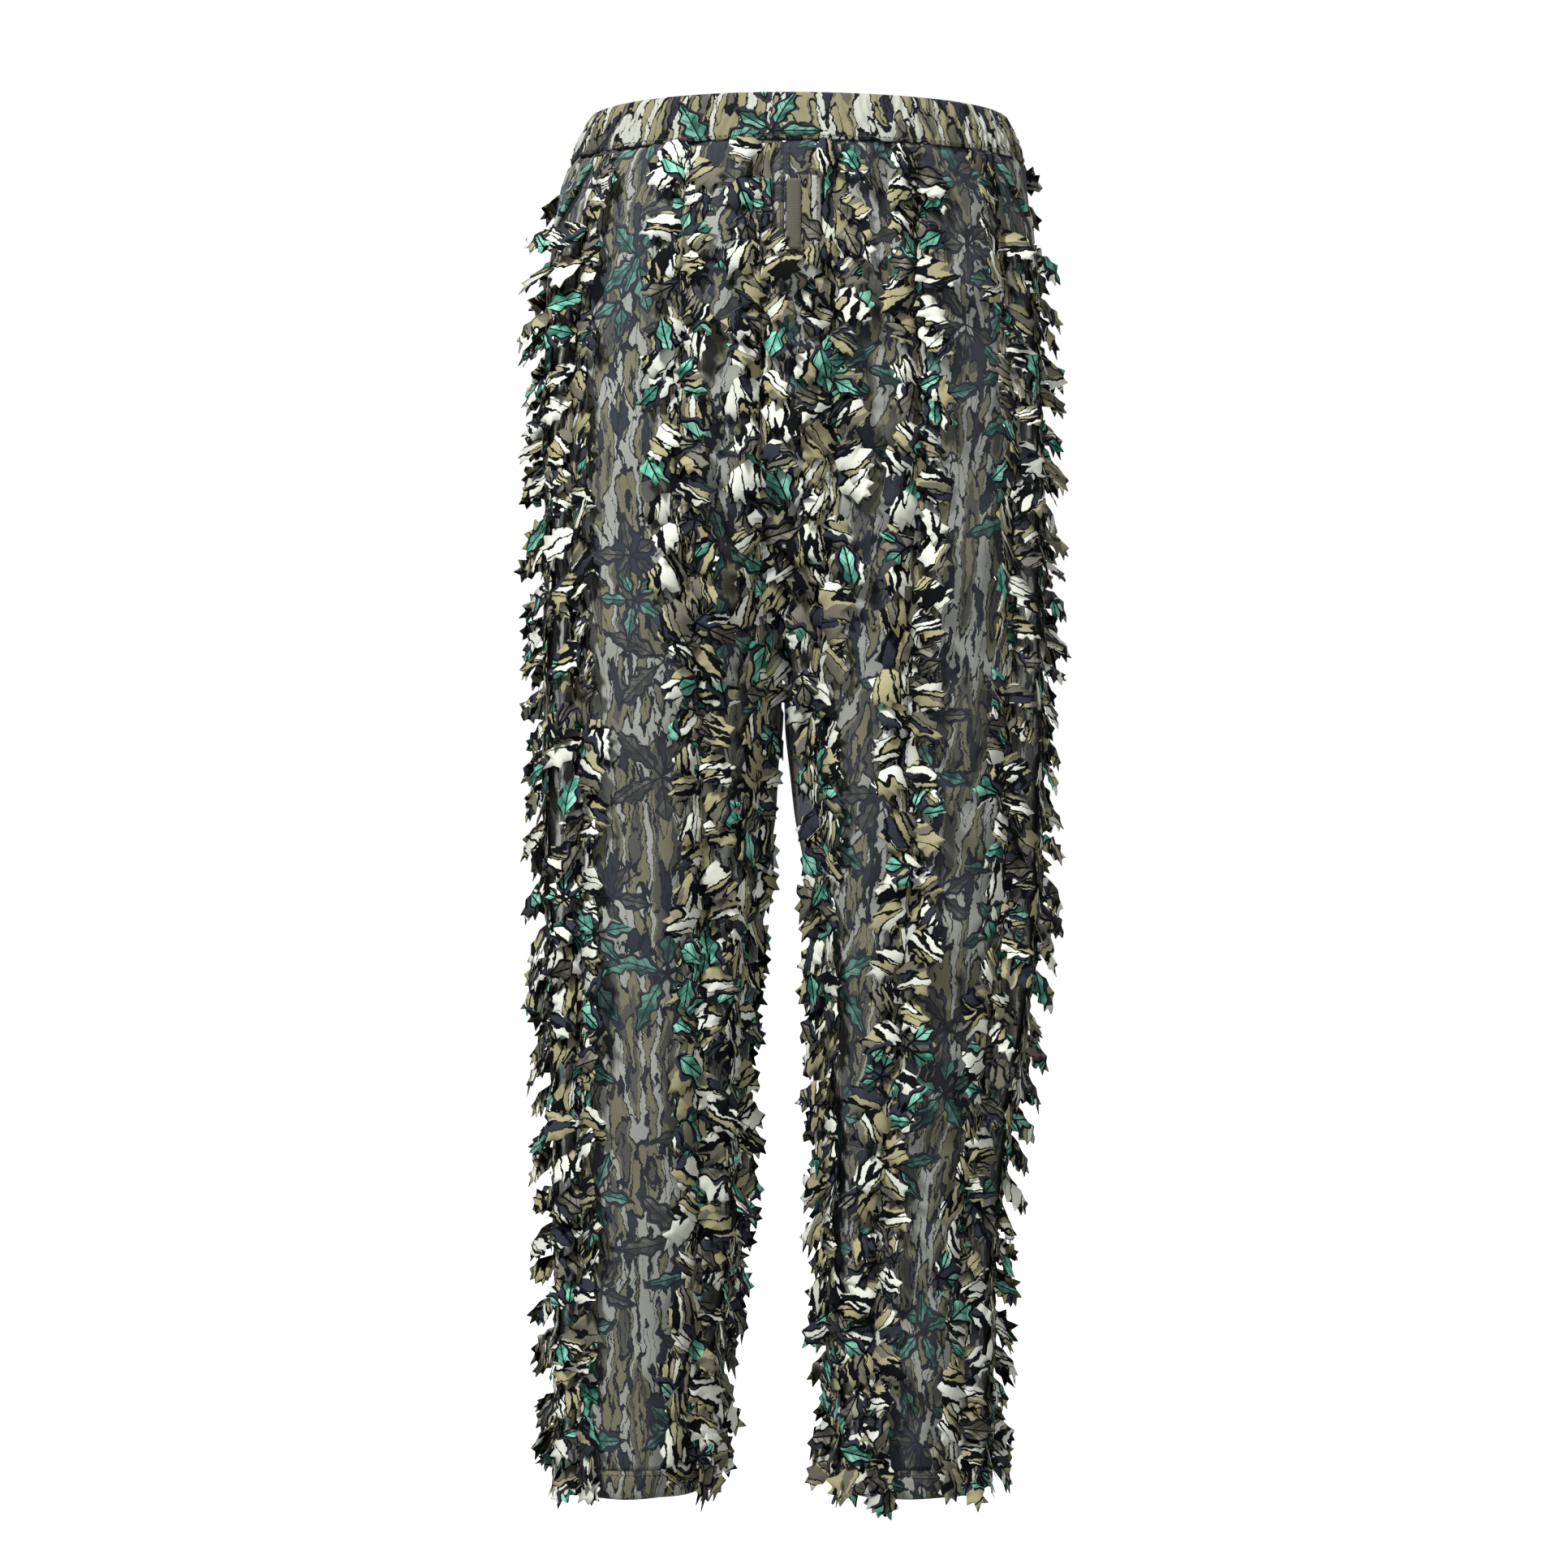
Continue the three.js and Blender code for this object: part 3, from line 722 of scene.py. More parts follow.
# %% [markdown]
# ## Hems
# Each leg ends in a hem turned up 22 mm and stitched. It is a ring of doubled cloth with a soft,
# rounded lower fold. It follows the same folds as the panel above it, so the leg reads as one piece of
# cloth.

# %% Turned-up hems
HEM_WALL = 0.0036
HEM_SEGMENTS = 200
HEM_PRINT = 0.074


def hem(side):
    """One hem: its outside, the fold at the bottom and its inside."""
    outside = [(0.0006, HEM_Z), (0.0009, HEM_Z * 0.6), (0.0008, HEM_Z * 0.25), (0.0002, 0.0012)]
    fold = [(-0.0010, 0.0), (-HEM_WALL + 0.001, 0.0)]
    inside = [(-HEM_WALL, 0.0012), (-HEM_WALL, HEM_Z * 0.5), (-HEM_WALL, HEM_Z)]
    bm, angle, stand, z = ring(outside + fold + inside, HEM_SEGMENTS)
    leg_angle = math.pi - angle
    places = body_point(side, leg_angle, z, fold_height(side, leg_angle, z) + stand)
    around = HEM_PRINT * angle
    lay(bm, places, np.stack([around + (0.2 if side == "left" else 0.9), z], axis=-1))
    bmesh.ops.recalc_face_normals(bm, faces=bm.faces)
    area = sum(face.calc_area() for face in bm.faces) / 2
    piece = new_piece("hem_turned_up_" + side, bm, hem_cloth)
    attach(piece, "root")
    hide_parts("hem_band_" + side)
    print(piece.name, len(piece.data.polygons), "faces")


for side in SIDES:
    hem(side)

# %% [markdown]
# ## Leaf shapes
# The leaves of a strip are die-cut: each is a flat lobed outline whose straight edge stays on the
# strip's middle line. Five outlines are drawn with their few corner points, in millimetres. Each one's
# corners are cut off a little, and the flat face is cut by a few straight lines, so that it has points
# inside it to bend at.

# %% Five flat leaves
LEAF_OUTLINES = [
    [(0, -5), (4, -9), (7, -15), (11, -10), (16, -16), (18, -9), (25, -11), (24, -5), (31, -3), (26, 1),
     (27, 7), (20, 6), (14, 9), (7, 7), (0, 5)],
    [(0, -5), (3, -12), (9, -13), (11, -8), (15, -15), (20, -12), (20, -6), (29, -7), (27, -1), (33, 4),
     (25, 5), (22, 10), (15, 8), (8, 10), (0, 6)],
    [(0, -6), (5, -9), (6, -16), (12, -10), (19, -17), (19, -8), (28, -10), (25, -3), (30, 2), (24, 3),
     (25, 10), (17, 7), (10, 8), (0, 5)],
    [(0, -4), (4, -10), (9, -9), (12, -14), (16, -8), (23, -13), (24, -6), (34, -8), (28, -1), (31, 5),
     (23, 4), (19, 9), (13, 6), (6, 8), (0, 5)],
    [(0, -6), (6, -13), (10, -9), (13, -16), (18, -10), (22, -13), (23, -6), (29, -4), (27, 2), (22, 4),
     (21, 11), (14, 8), (9, 10), (5, 7), (0, 6)],
]
MM = 0.001
BEND_LINES = (5, 10, 15, 20, 25)


def flat_leaf(number, outline):
    """One leaf lying flat, with its root at the origin and its tip along X."""
    bm = bmesh.new()
    verts = [bm.verts.new((x * MM, y * MM, 0)) for x, y in outline]
    bm.faces.new(verts)
    tips = [vert for vert, (x, y) in zip(verts, outline) if x > 0]
    bmesh.ops.bevel(bm, geom=tips, affect="VERTICES", offset=0.6 * MM, segments=1, profile=0.5,
                    material=-1)
    cuts = [((x * MM, 0, 0), (1, 0, 0)) for x in BEND_LINES] + [((0, 0, 0), (0, 1, 0))]
    for place, normal in cuts:
        geometry = bm.verts[:] + bm.edges[:] + bm.faces[:]
        bmesh.ops.bisect_plane(bm, geom=geometry, plane_co=place, plane_no=normal)
    bmesh.ops.recalc_face_normals(bm, faces=bm.faces)
    layer = bm.loops.layers.uv.new(PRINT_MAP)
    for face in bm.faces:
        if face.normal.z < 0:
            face.normal_flip()
        for loop in face.loops:
            loop[layer].uv = loop.vert.co.xy
    mesh = bpy.data.meshes.new(f"flat_leaf_{number}")
    bm.to_mesh(mesh)
    area = sum(face.calc_area() for face in bm.faces)
    bm.free()
    return mesh, area


flat_leaves = [flat_leaf(i, outline) for i, outline in enumerate(LEAF_OUTLINES)]
print("leaf faces", [len(mesh.polygons) for mesh, area in flat_leaves])

# %% [markdown]
# ## Where the strips are sewn
# Eight strips run down each leg. Their place is given as a share of the leg's width, at the hem, the
# knee, the hip and the waist, because a sewn line follows the hang of the leg. At any point of such a
# line, three directions are needed: along it, away from it on the cloth, and out of the cloth.

# %% Strip lines
SEWN_HEIGHTS = np.array([0, 0.463, 0.760, TOP_Z])
SEWN_AT = {
    "right": {
        "inner_front": (0.05, 0.07, 0.09, 0.10),
        "front": (0.20, 0.28, 0.41, 0.42),
        "outer_front": (0.81, 0.80, 0.84, 0.80),
        "side_front": (0.985, 0.975, 0.97, 0.95),
        "side_back": (0.96, 0.965, 0.965, 0.95),
        "outer_back": (0.74, 0.76, 0.78, 0.76),
        "back": (0.40, 0.42, 0.44, 0.44),
        "inner_back": (0.10, 0.11, 0.13, 0.14),
    },
    "left": {
        "inner_front": (0.05, 0.08, 0.17, 0.21),
        "front": (0.24, 0.43, 0.50, 0.50),
        "outer_front": (0.76, 0.83, 0.86, 0.79),
        "side_front": (0.97, 0.975, 0.98, 0.95),
        "side_back": (0.96, 0.965, 0.965, 0.95),
        "outer_back": (0.74, 0.76, 0.78, 0.76),
        "back": (0.40, 0.42, 0.44, 0.44),
        "inner_back": (0.10, 0.11, 0.13, 0.14),
    },
}


def strip_angle(side, name, z):
    """The angle round the leg of a sewn line at height z."""
    leg = section(side, z)
    share = np.interp(z, SEWN_HEIGHTS, SEWN_AT[side][name])
    angle = angle_at(leg, leg["edge"] + (leg["outer"] - leg["edge"]) * share)
    return angle if name.endswith("front") else -angle


def strip_frame(side, name, z):
    """Points on the sewn line, and the directions along it (up), across it and out of the cloth."""
    step = 0.004
    angle = strip_angle(side, name, z)
    place = cloth_point(side, angle, z)
    up = unit(body_point(side, strip_angle(side, name, z + step), z + step) - body_point(side, angle, z))
    round_leg = unit(body_point(side, angle + 0.05, z) - body_point(side, angle - 0.05, z))
    out = unit(np.cross(round_leg, up))
    hub = body_point(side, angle, z, 0.01) - body_point(side, angle, z)
    out = out * np.sign((out * hub).sum(axis=-1, keepdims=True))
    across = np.cross(up, out)
    return place, up, across, out


# %% [markdown]
# ## One leaf
# Every leaf points out and down from the sewn line. It lifts off the cloth at its root, curls along its
# length, and is cupped and twisted a little. The amounts are random but seeded, so the same leaves come
# out each time. Copying a flat leaf's mesh and moving its points is far quicker than modelling each
# one. Its print is turned and shifted too, so that no two leaves look alike.

# %% One leaf on the strip
LEAF_THICKNESS = 0.0004
LEAF_STAND = 0.0020
ROOT_AT = 0.0045
MOST_LIFT = 0.024
LEAST_DROP, MOST_DROP, DROP_SPREAD = 28, 82, 10
SIZES, TONES = (0.88, 1.24), (0.82, 1.16)
CURLS, CUPS, TWISTS = (-20, 8), (-5, 8), (-6, 6)
LEAF_PRINT = 0.8
dice = random.Random(20)


def bent(flat, lift, curl, cup, twist):
    """Bends a flat leaf: how far each point is along its axis, beside it, and off the cloth."""
    turn = lift + curl * flat[:, 0]
    along = (np.sin(turn) - math.sin(lift)) / curl
    off = (math.cos(lift) - np.cos(turn)) / curl
    free = np.clip(flat[:, 0] / 0.008, 0, 1)
    off = off + (cup * flat[:, 1] ** 2 + twist * flat[:, 0] * flat[:, 1]) * free
    return along, flat[:, 1], MOST_LIFT * np.tanh(off / MOST_LIFT)


def add_leaf(bm, place, up, across, out, wing, raised, kind):
    """Adds one leaf on one wing of the strip: 1 is across, -1 is the other way."""
    least_lift, most_lift, usual_drop = kind
    mesh, area = flat_leaves[dice.randrange(len(flat_leaves))]
    first, first_face = len(bm.verts), len(bm.faces)
    bm.from_mesh(mesh)
    bm.verts.ensure_lookup_table()
    bm.faces.ensure_lookup_table()
    size = dice.uniform(*SIZES)
    mirror = dice.choice((-1, 1, 1, 1))
    flat = np.array([vert.co[:2] for vert in bm.verts[first:]]) * np.array([size, size * mirror])
    curl = dice.uniform(*CURLS)
    curl = math.copysign(max(abs(curl), 1.0), curl)
    lift = math.radians(dice.uniform(least_lift, most_lift)) * raised
    cup, twist = dice.uniform(*CUPS) * raised, dice.uniform(*TWISTS) * raised
    along, beside, off = bent(flat, lift, curl * raised, cup, twist)
    drop = math.radians(min(max(dice.gauss(usual_drop, DROP_SPREAD), LEAST_DROP), MOST_DROP))
    axis = math.cos(drop) * wing * across - math.sin(drop) * up
    edge = math.sin(drop) * wing * across + math.cos(drop) * up
    off = np.maximum(off, 0.0003) + LEAF_STAND
    points = place + ROOT_AT * wing * across + along[:, None] * axis
    points = points + beside[:, None] * edge + off[:, None] * out
    for vert, point in zip(bm.verts[first:], points):
        vert.co = point
    tone = dice.uniform(*TONES)
    spin = math.radians(dice.gauss(90, 28)) - wing * drop
    shift = (dice.uniform(0, 6), dice.uniform(0, 6))
    uv_layer = bm.loops.layers.uv[PRINT_MAP]
    tone_layer = bm.faces.layers.float["leaf_tone"]
    cos, sin = math.cos(spin), math.sin(spin)
    for face in bm.faces[first_face:]:
        face[tone_layer] = tone
        if wing * mirror < 0:
            face.normal_flip()
        for loop in face.loops:
            u, v = loop[uv_layer].uv * LEAF_PRINT
            loop[uv_layer].uv = (u * cos - v * sin + shift[0], u * sin + v * cos + shift[1])
    return area * size * size


# %% [markdown]
# ## The ribbon under the leaves
# A narrow ribbon, the middle of the strip, runs under all the roots. It is a small grid laid along the
# sewn line, with edges that wander and pucker. It is made in a bmesh of its own first, so that its
# faces can be turned outwards before the leaves join them.

# %% The ribbon under the leaves
TAPE_HALF = 0.0085
TAPE_TONE = 0.85


def strip_shift(side, name):
    """Where a ribbon's print starts, so that each strip shows another part of it."""
    return 0.31 * list(SEWN_AT[side]).index(name) + (1.1 if side == "left" else 0.0)


def add_tape(bm, side, name, top, bottom):
    """The strip's middle, a narrow ribbon with puckered edges that lies along the sewn line."""
    tape, uv = grid(4, int((top - bottom) / 0.005))
    z = bottom + (top - bottom) * uv[:, 1]
    place, up, across, out = strip_frame(side, name, z)
    edge = (uv[:, 0] - 0.5) * 2
    half = edge * TAPE_HALF * (1 + 0.3 * np.sin(z * 160) * np.sin(z * 57))
    off = 0.0012 + (np.sin(z * 520 + edge * 2) * 0.0007 + 0.0014) * np.abs(edge)
    points = place + half[:, None] * across + off[:, None] * out
    lay(tape, points, np.stack([half + strip_shift(side, name), z], axis=-1))
    tape.normal_update()
    outward = sum(face.normal.dot(Vector(out[face.verts[0].index])) for face in tape.faces)
    if outward < 0:
        bmesh.ops.reverse_faces(tape, faces=tape.faces[:])
    layer = tape.faces.layers.float.new("leaf_tone")
    for face in tape.faces:
        face[layer] = TAPE_TONE
    mesh = bpy.data.meshes.new("tape")
    tape.to_mesh(mesh)
    tape.free()
    bm.from_mesh(mesh)
    bpy.data.meshes.remove(mesh)


# %% [markdown]
# ## Sixteen strips
# A strip has a leaf every 26 or 27 mm on each wing, and two more at the hem. Leaves that show at the
# edge of the legs lift more and hang more steeply than the others. Between the legs they lie closer to
# the cloth, and high on the thighs, where there is no room for them, they are pressed flat between the
# two legs. The fly and the pocket mouths are kept clear.

# %% All sixteen strips
PITCH = 0.0265
JITTER = 0.0065
HEM_LEAVES = 2
USUAL_LEAF = (10, 34, 50)
EDGE_LEAF = (24, 56, 64)
SIDE_STRIP_TOP = 0.965
CUT_WIDTH = 0.068
PRESSED = 0.0008
CLOSE_STRIPS = {"inner_front": 0.5, "inner_back": 0.6}
EDGE_STRIPS = ("outer_front", "side_front", "side_back", "outer_back")
FLY_MIDDLE = 0.012
FLY_CLEAR = (0.962, 1.022)
POCKET_CLEAR = 0.996


def press(side, bm):
    """Keeps a strip on its side of the middle. High on the thigh, its leaves may lie over the gap."""
    sign = -1 if side == "right" else 1
    for vert in bm.verts:
        z = vert.co.z
        over = (0.008 + 0.004 * math.sin(230 * z + sign)) * float(ease(0.575, 0.610, z))
        inside = sign * (vert.co.x - MIDDLE_X) + over
        if inside < PRESSED and z < CROTCH_Z + 0.01:
            vert.co.x = MIDDLE_X + sign * (PRESSED - over + 0.05 * max(inside - PRESSED, -0.03))


def covers_fly(place, direction, z):
    """True for a leaf beside the fly that points at it: the fly is kept clear."""
    towards = (MIDDLE_X + FLY_MIDDLE - place[0]) * direction[0] > 0
    return towards and FLY_CLEAR[0] < z < FLY_CLEAR[1]


def leaf_strip(side, name):
    """A ribbon with its leaves, first those of one wing and then those of the other."""
    top = BAND_Z - 0.004 if name != "side_front" else SIDE_STRIP_TOP
    bottom = HEM_Z * 0.55
    bm = bmesh.new()
    add_tape(bm, side, name, top, bottom)
    area = (top - bottom) * TAPE_HALF * 2
    count = int((top - bottom - 0.004) / PITCH)
    for wing in (-1, 1):
        for i in range(count + HEM_LEAVES):
            step = i + (0.5 if wing > 0 else 0)
            z = top + 0.004 - PITCH * step + dice.uniform(-JITTER, JITTER)
            if i >= count:
                z = bottom + dice.uniform(0.002, 0.022)
            z = min(max(z, bottom + 0.002), BAND_Z - 0.001)
            place, up, across, out = (part[0] for part in strip_frame(side, name, np.array([z])))
            if name == "inner_front" and covers_fly(place, wing * across, z):
                continue
            close = CLOSE_STRIPS.get(name, 1.0) if 0.44 < z < 0.76 else 1.0
            to_side = (place[0] - MIDDLE_X) * wing * across[0] > 0 and abs(across[0]) > 0.25
            kind = EDGE_LEAF if name in EDGE_STRIPS and to_side else USUAL_LEAF
            if name == "outer_front" and to_side and z > POCKET_CLEAR:
                continue
            area += add_leaf(bm, place, up, across, out, wing, close, kind)
    press(side, bm)
    piece = thicken(new_piece(f"leaf_strip_{name}_cloth_{side}", bm, leaf_cloth), LEAF_THICKNESS, 0.0)
    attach(piece, "root")
    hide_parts(f"leaf_strip_{name}_{side}")
    width, length = CUT_WIDTH, top - bottom
    return piece, area / (width * length)


strips = [leaf_strip(side, name) for side in SIDES for name in SEWN_AT[side]]
print("strips", len(strips), "faces", sum(len(piece.data.polygons) for piece, share in strips))
print("cloth as a share of its rectangle", [round(share, 2) for piece, share in strips])

# %% [markdown]
# ## Fly
# The front has a small fly: a doubled flap of the same cloth over a longer underlap, sewn down along
# its sides and its foot. Both are small sheets. The flap is laid on the front, a little off the cloth
# below, and the underlap behind it, inside the trousers.

# %% Fly flap and underlap
def front_point(across, z, stand):
    """Points on the trousers' front, by their distance from the middle (left is positive)."""
    across, z = np.broadcast_arrays(np.asarray(across, float), np.asarray(z, float))
    sides = {}
    for side, sign in (("left", 1), ("right", -1)):
        angle = angle_at(section(side, z), sign * across)
        sides[side] = cloth_point(side, angle, z, stand)
    return np.where((across >= 0)[..., None], sides["left"], sides["right"])


def small_sheet(name, size, place_of, material, thickness, shift, turn=0.0):
    """A small rectangle of cloth, laid by place_of(u, v), with its print shifted and turned."""
    columns, rows = (max(4, int(side / 0.0025)) for side in size)
    bm, uv = grid(columns, rows)
    x, y = uv[:, 0] * size[0], uv[:, 1] * size[1]
    cos, sin = math.cos(turn), math.sin(turn)
    flat = np.stack([x * cos - y * sin, x * sin + y * cos], axis=-1)
    places = place_of(uv[:, 0], uv[:, 1])
    lay(bm, places, flat + np.array(shift))
    face_outwards(bm, Vector((MIDDLE_X, MIDDLE_Y, float(places[:, 2].mean()))))
    piece = thicken(new_piece(name, bm, material), thickness, 1.0)
    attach(piece, "root")
    return piece


fly_low, fly_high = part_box("fly_placket")
FLY_SIZE = (fly_high.x - fly_low.x, fly_high.z - fly_low.z)
FLAP_STAND, LAP_STAND = 0.0018, -0.0032


def fly_place(u, v):
    """The flap's surface: puffed a little between its stitched edges."""
    across = fly_low.x - MIDDLE_X + FLY_SIZE[0] * u
    edge = np.minimum(np.minimum(u, 1 - u) * FLY_SIZE[0], v * FLY_SIZE[1])
    puff = 0.0007 * ease(0.0, 0.006, edge) + 0.0003 * np.sin(v * 40) * (1 - ease(0.0, 0.004, edge))
    return front_point(across, fly_low.z + FLY_SIZE[1] * v, FLAP_STAND + puff)


fly_flap = small_sheet("fly_flap_cloth", FLY_SIZE, fly_place, band_cloth, 0.0011, (2.43, 0.37))
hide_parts("fly_placket")

lap_low, lap_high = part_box("fly_underlap")
LAP_SIZE = (lap_high.x - lap_low.x, lap_high.z - lap_low.z)


def underlap_place(u, v):
    across = lap_low.x - MIDDLE_X + LAP_SIZE[0] * u
    return front_point(across, lap_low.z + LAP_SIZE[1] * v, LAP_STAND)


underlap = small_sheet("fly_underlap_cloth", LAP_SIZE, underlap_place, band_cloth, 0.0008, (1.9, 0.2))
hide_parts("fly_underlap")
print("fly", [round(side, 4) for side in FLY_SIZE])

# %% [markdown]
# ## Pocket mouths
# Each side pocket opens in a slanted slit near the side seam. What shows is its welt, a narrow folded
# strip that stands a little off the cloth. It is a sheet whose long edges follow the slit.

# %% Pocket welts
POCKET_TOP, POCKET_BOTTOM = 1.022, 0.968
SLIT_TOP_ANGLE, SLIT_BOTTOM_ANGLE = 152, 173
SLIT_LENGTH = 0.066
WELT_WIDTH, WELT_CUT = 0.007, 0.012
WELT_AT = -0.0095


def pocket_angle(side, z, behind):
    """The angle of the pocket's slit at height z, moved back round the leg by a distance."""
    leg = section(side, z)
    down = (POCKET_TOP - z) / (POCKET_TOP - POCKET_BOTTOM)
    slit = np.radians(SLIT_TOP_ANGLE + (SLIT_BOTTOM_ANGLE - SLIT_TOP_ANGLE) * down)
    speed = np.hypot(leg["across"] * np.sin(slit), leg["deep"] * np.cos(slit))
    return slit + behind / speed


def welt(side):
    """The folded edge of one pocket."""
    def place(u, v):
        z = POCKET_BOTTOM + (POCKET_TOP - POCKET_BOTTOM) * v
        angle = pocket_angle(side, z, WELT_AT + WELT_WIDTH * u)
        puff = 0.0014 + 0.0022 * np.sin(np.clip(u, 0, 1) * math.pi) ** 0.5
        return cloth_point(side, angle, z, puff)

    piece = small_sheet("pocket_welt_cloth_" + side, (WELT_WIDTH, SLIT_LENGTH), place, band_cloth,
                        0.0009, (3.1, 0.9), 0.5)
    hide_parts("pocket_welt_" + side)


for side in SIDES:
    welt(side)
print("pocket mouths", SLIT_LENGTH, "m long")

# %% [markdown]
# ## Plain finishes
# Not every piece is printed. The label is satin, the elastic a ribbed web, the facing and the thread a
# plain olive, and the painted shadow in the pocket mouths near black. One recipe serves them all: a
# single colour, shaded by fine ribs and a grain, and the same ribs in the bump.

# %% Plain finishes
ALONG_X, ALONG_Z = 0, 2


def plain_material(name, colour, roughness, ribs, direction, depth=0.5):
    """A plain woven finish with ribs at a given spacing, in Object coordinates."""
    ink = Ink(name)
    place = ink.node("ShaderNodeTexCoord").outputs["Object"]
    parts = ink.node("ShaderNodeSeparateXYZ", Vector=place).outputs
    wave = ink.math("SINE", ink.math("MULTIPLY", parts[direction], math.tau / ribs))
    grain = ink.noise(place, 700.0, 2.0)
    shade = ink.math("MULTIPLY_ADD", ink.math("ADD", ink.math("MULTIPLY", wave, 0.5), grain), 0.16, 0.86)
    base = ink.node("ShaderNodeRGB")
    base.outputs[0].default_value = (*colour, 1)
    ink.put(ink.shader.inputs["Base Color"], scaled(ink, base.outputs[0], shade))
    height = ink.math("ADD", wave, grain)
    bumped = ink.node("ShaderNodeBump", Strength=depth, Distance=0.0004, Height=height)
    ink.put(ink.shader.inputs["Normal"], bumped.outputs[0])
    ink.shader.inputs["Roughness"].default_value = roughness
    ink.shader.inputs["Sheen Weight"].default_value = 0.2
    return ink.material


satin = plain_material("label_satin", (0.62, 0.62, 0.58), 0.42, 0.0006, ALONG_X, 0.2)
webbing = plain_material("elastic_webbing", (0.55, 0.55, 0.53), 0.75, 0.0016, ALONG_Z)
# Near-black finish for the painted shadow in each pocket mouth, not a real lining colour.
slit_shade_cloth = plain_material("painted_slit_shadow_cloth", (0.009, 0.009, 0.010), 0.9, 0.0009, ALONG_Z)
plain_cloth = plain_material("plain_olive_cloth", (0.060, 0.057, 0.038), 0.85, 0.0009, ALONG_Z)
thread_material = plain_material("olive_thread", (0.060, 0.056, 0.040), 0.6, 0.0005, ALONG_Z)
print("plain finishes", len((satin, webbing, slit_shade_cloth, plain_cloth, thread_material)))

# %% [markdown]
# ## Label and elastic
# A blank satin label hangs inside the back of the waistband. It is a small sheet that follows the curve
# of the back. The elastic runs hidden in the casing, so it keeps the CAD model's own shape and only
# gets a material.

# %% Label and elastic
label_low, label_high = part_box("size_label")
LABEL_SIZE = (label_high.x - label_low.x, label_high.z - label_low.z)
LABEL_INSIDE = -0.0050


def label_place(u, v):
    across = (u - 0.5) * LABEL_SIZE[0]
    z = label_low.z + LABEL_SIZE[1] * v
    wave = 0.0008 * np.sin(u * 5 + 1) * (1 - v)
    curve = (across / 0.17) ** 2 * 0.05
    y = label_high.y + LABEL_INSIDE - curve + wave
    return np.stack([(label_low.x + label_high.x) / 2 + across, y, z], axis=-1)


label = small_sheet("size_label_satin", LABEL_SIZE, label_place, satin, 0.0004, (0, 0))
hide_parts("size_label")

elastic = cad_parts["waist_elastic"]
elastic.data.materials.clear()
elastic.data.materials.append(webbing)
print("label", [round(side, 4) for side in LABEL_SIZE])

# %% [markdown]
# ## Fly facing and pocket linings
# The edge of the fly is faced with a narrow strip of plain olive cloth. A pocket's lining shows as a
# dark line in front of its welt, where the mouth stands open a little. Both are small sheets laid close
# to what they are sewn to.

# %% Facing and painted pocket shadows
FACING_SHARE = (0.40, 0.92)
FACING_SIZE = (FACING_SHARE[0] * FLY_SIZE[0], FACING_SHARE[1] * FLY_SIZE[1])
FACING_STAND = np.array([0.0, -0.0014, 0.0])
MOUTH_SHADOW_WIDTH = 0.0105
MOUTH_SHADOW_SHOWS = 0.0034


def facing_place(u, v):
    return fly_place(0.04 + FACING_SHARE[0] * u, 0.03 + FACING_SHARE[1] * v) + FACING_STAND


facing = small_sheet("fly_facing_cloth", FACING_SIZE, facing_place, plain_cloth, 0.0004, (0, 0))


def mouth_shadow(side):
    """A painted shadow: the dark line in one pocket's mouth, a near-black sheet on the closed cloth."""
    def place(u, v):
        z = POCKET_BOTTOM + (POCKET_TOP - POCKET_BOTTOM) * v
        shows = MOUTH_SHADOW_SHOWS * np.sin(math.pi * v) ** 0.5
        angle = pocket_angle(side, z, WELT_AT - shows + MOUTH_SHADOW_WIDTH * u)
        return cloth_point(side, angle, z, 0.0006)

    # This near-black sheet is painted shadow, not a real lining.
    piece = small_sheet("pocket_mouth_painted_shadow_" + side, (MOUTH_SHADOW_WIDTH, SLIT_LENGTH), place, slit_shade_cloth,
                        0.0003, (0, 0))


for side in SIDES:
    mouth_shadow(side)
print("facing", [round(length, 4) for length in FACING_SIZE], "and two painted pocket shadows")

# %% [markdown]
# ## Thread
# Every seam shows short stitches in dark thread. One stitch is a tiny block with its ends bevelled
# down; a row is many copies, each turned along the seam. A stitch has few faces, because there are
# thousands of them.

# %% Stitch rows
STITCH_LENGTH, STITCH_PITCH, THREAD = 0.0027, 0.0040, 0.00055


def one_stitch():
    bm = bmesh.new()
    bmesh.ops.create_cube(bm, size=1.0)
    bmesh.ops.scale(bm, verts=bm.verts, vec=(STITCH_LENGTH, THREAD, THREAD))
    ends = []
    for edge in bm.edges:
        start, end = (vert.co for vert in edge.verts)
        if min(start.z, end.z) > 0 and abs(start.x - end.x) < 1e-9:
            ends.append(edge)
    bmesh.ops.bevel(bm, geom=ends, affect="EDGES", offset=THREAD * 0.45, segments=1, profile=0.5,
                    material=-1)
    mesh = bpy.data.meshes.new("one_stitch")
    bm.to_mesh(mesh)
    bm.free()
    return mesh


stitch_mesh = one_stitch()


def add_row(bm, line, out):
    """Lays stitches along a dense line of points. out holds the directions off the cloth."""
    steps = np.linalg.norm(np.diff(line, axis=0), axis=1)
    travelled = np.concatenate([[0], np.cumsum(steps)])
    for distance in np.arange(STITCH_PITCH / 2, travelled[-1], STITCH_PITCH):
        i = max(min(int(np.searchsorted(travelled, distance)), len(line) - 1), 1)
        share = (distance - travelled[i - 1]) / max(steps[i - 1], 1e-9)
        centre = line[i - 1] + (line[i] - line[i - 1]) * share
        along = unit(line[i] - line[i - 1])
        off = unit(out[i] - along * float(out[i] @ along))
        beside = np.cross(off, along)
        first = len(bm.verts)
        bm.from_mesh(stitch_mesh)
        bm.verts.ensure_lookup_table()
        for vert in bm.verts[first:]:
            x, y, z = vert.co
            vert.co = centre + along * x + beside * y + off * z


def thread_piece(name, rows):
    """All stitches of some rows as one piece."""
    bm = bmesh.new()
    for line, out in rows:
        add_row(bm, line, out)
    piece = new_piece(name, bm, thread_material, smooth=False)
    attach(piece, "root")
    return piece


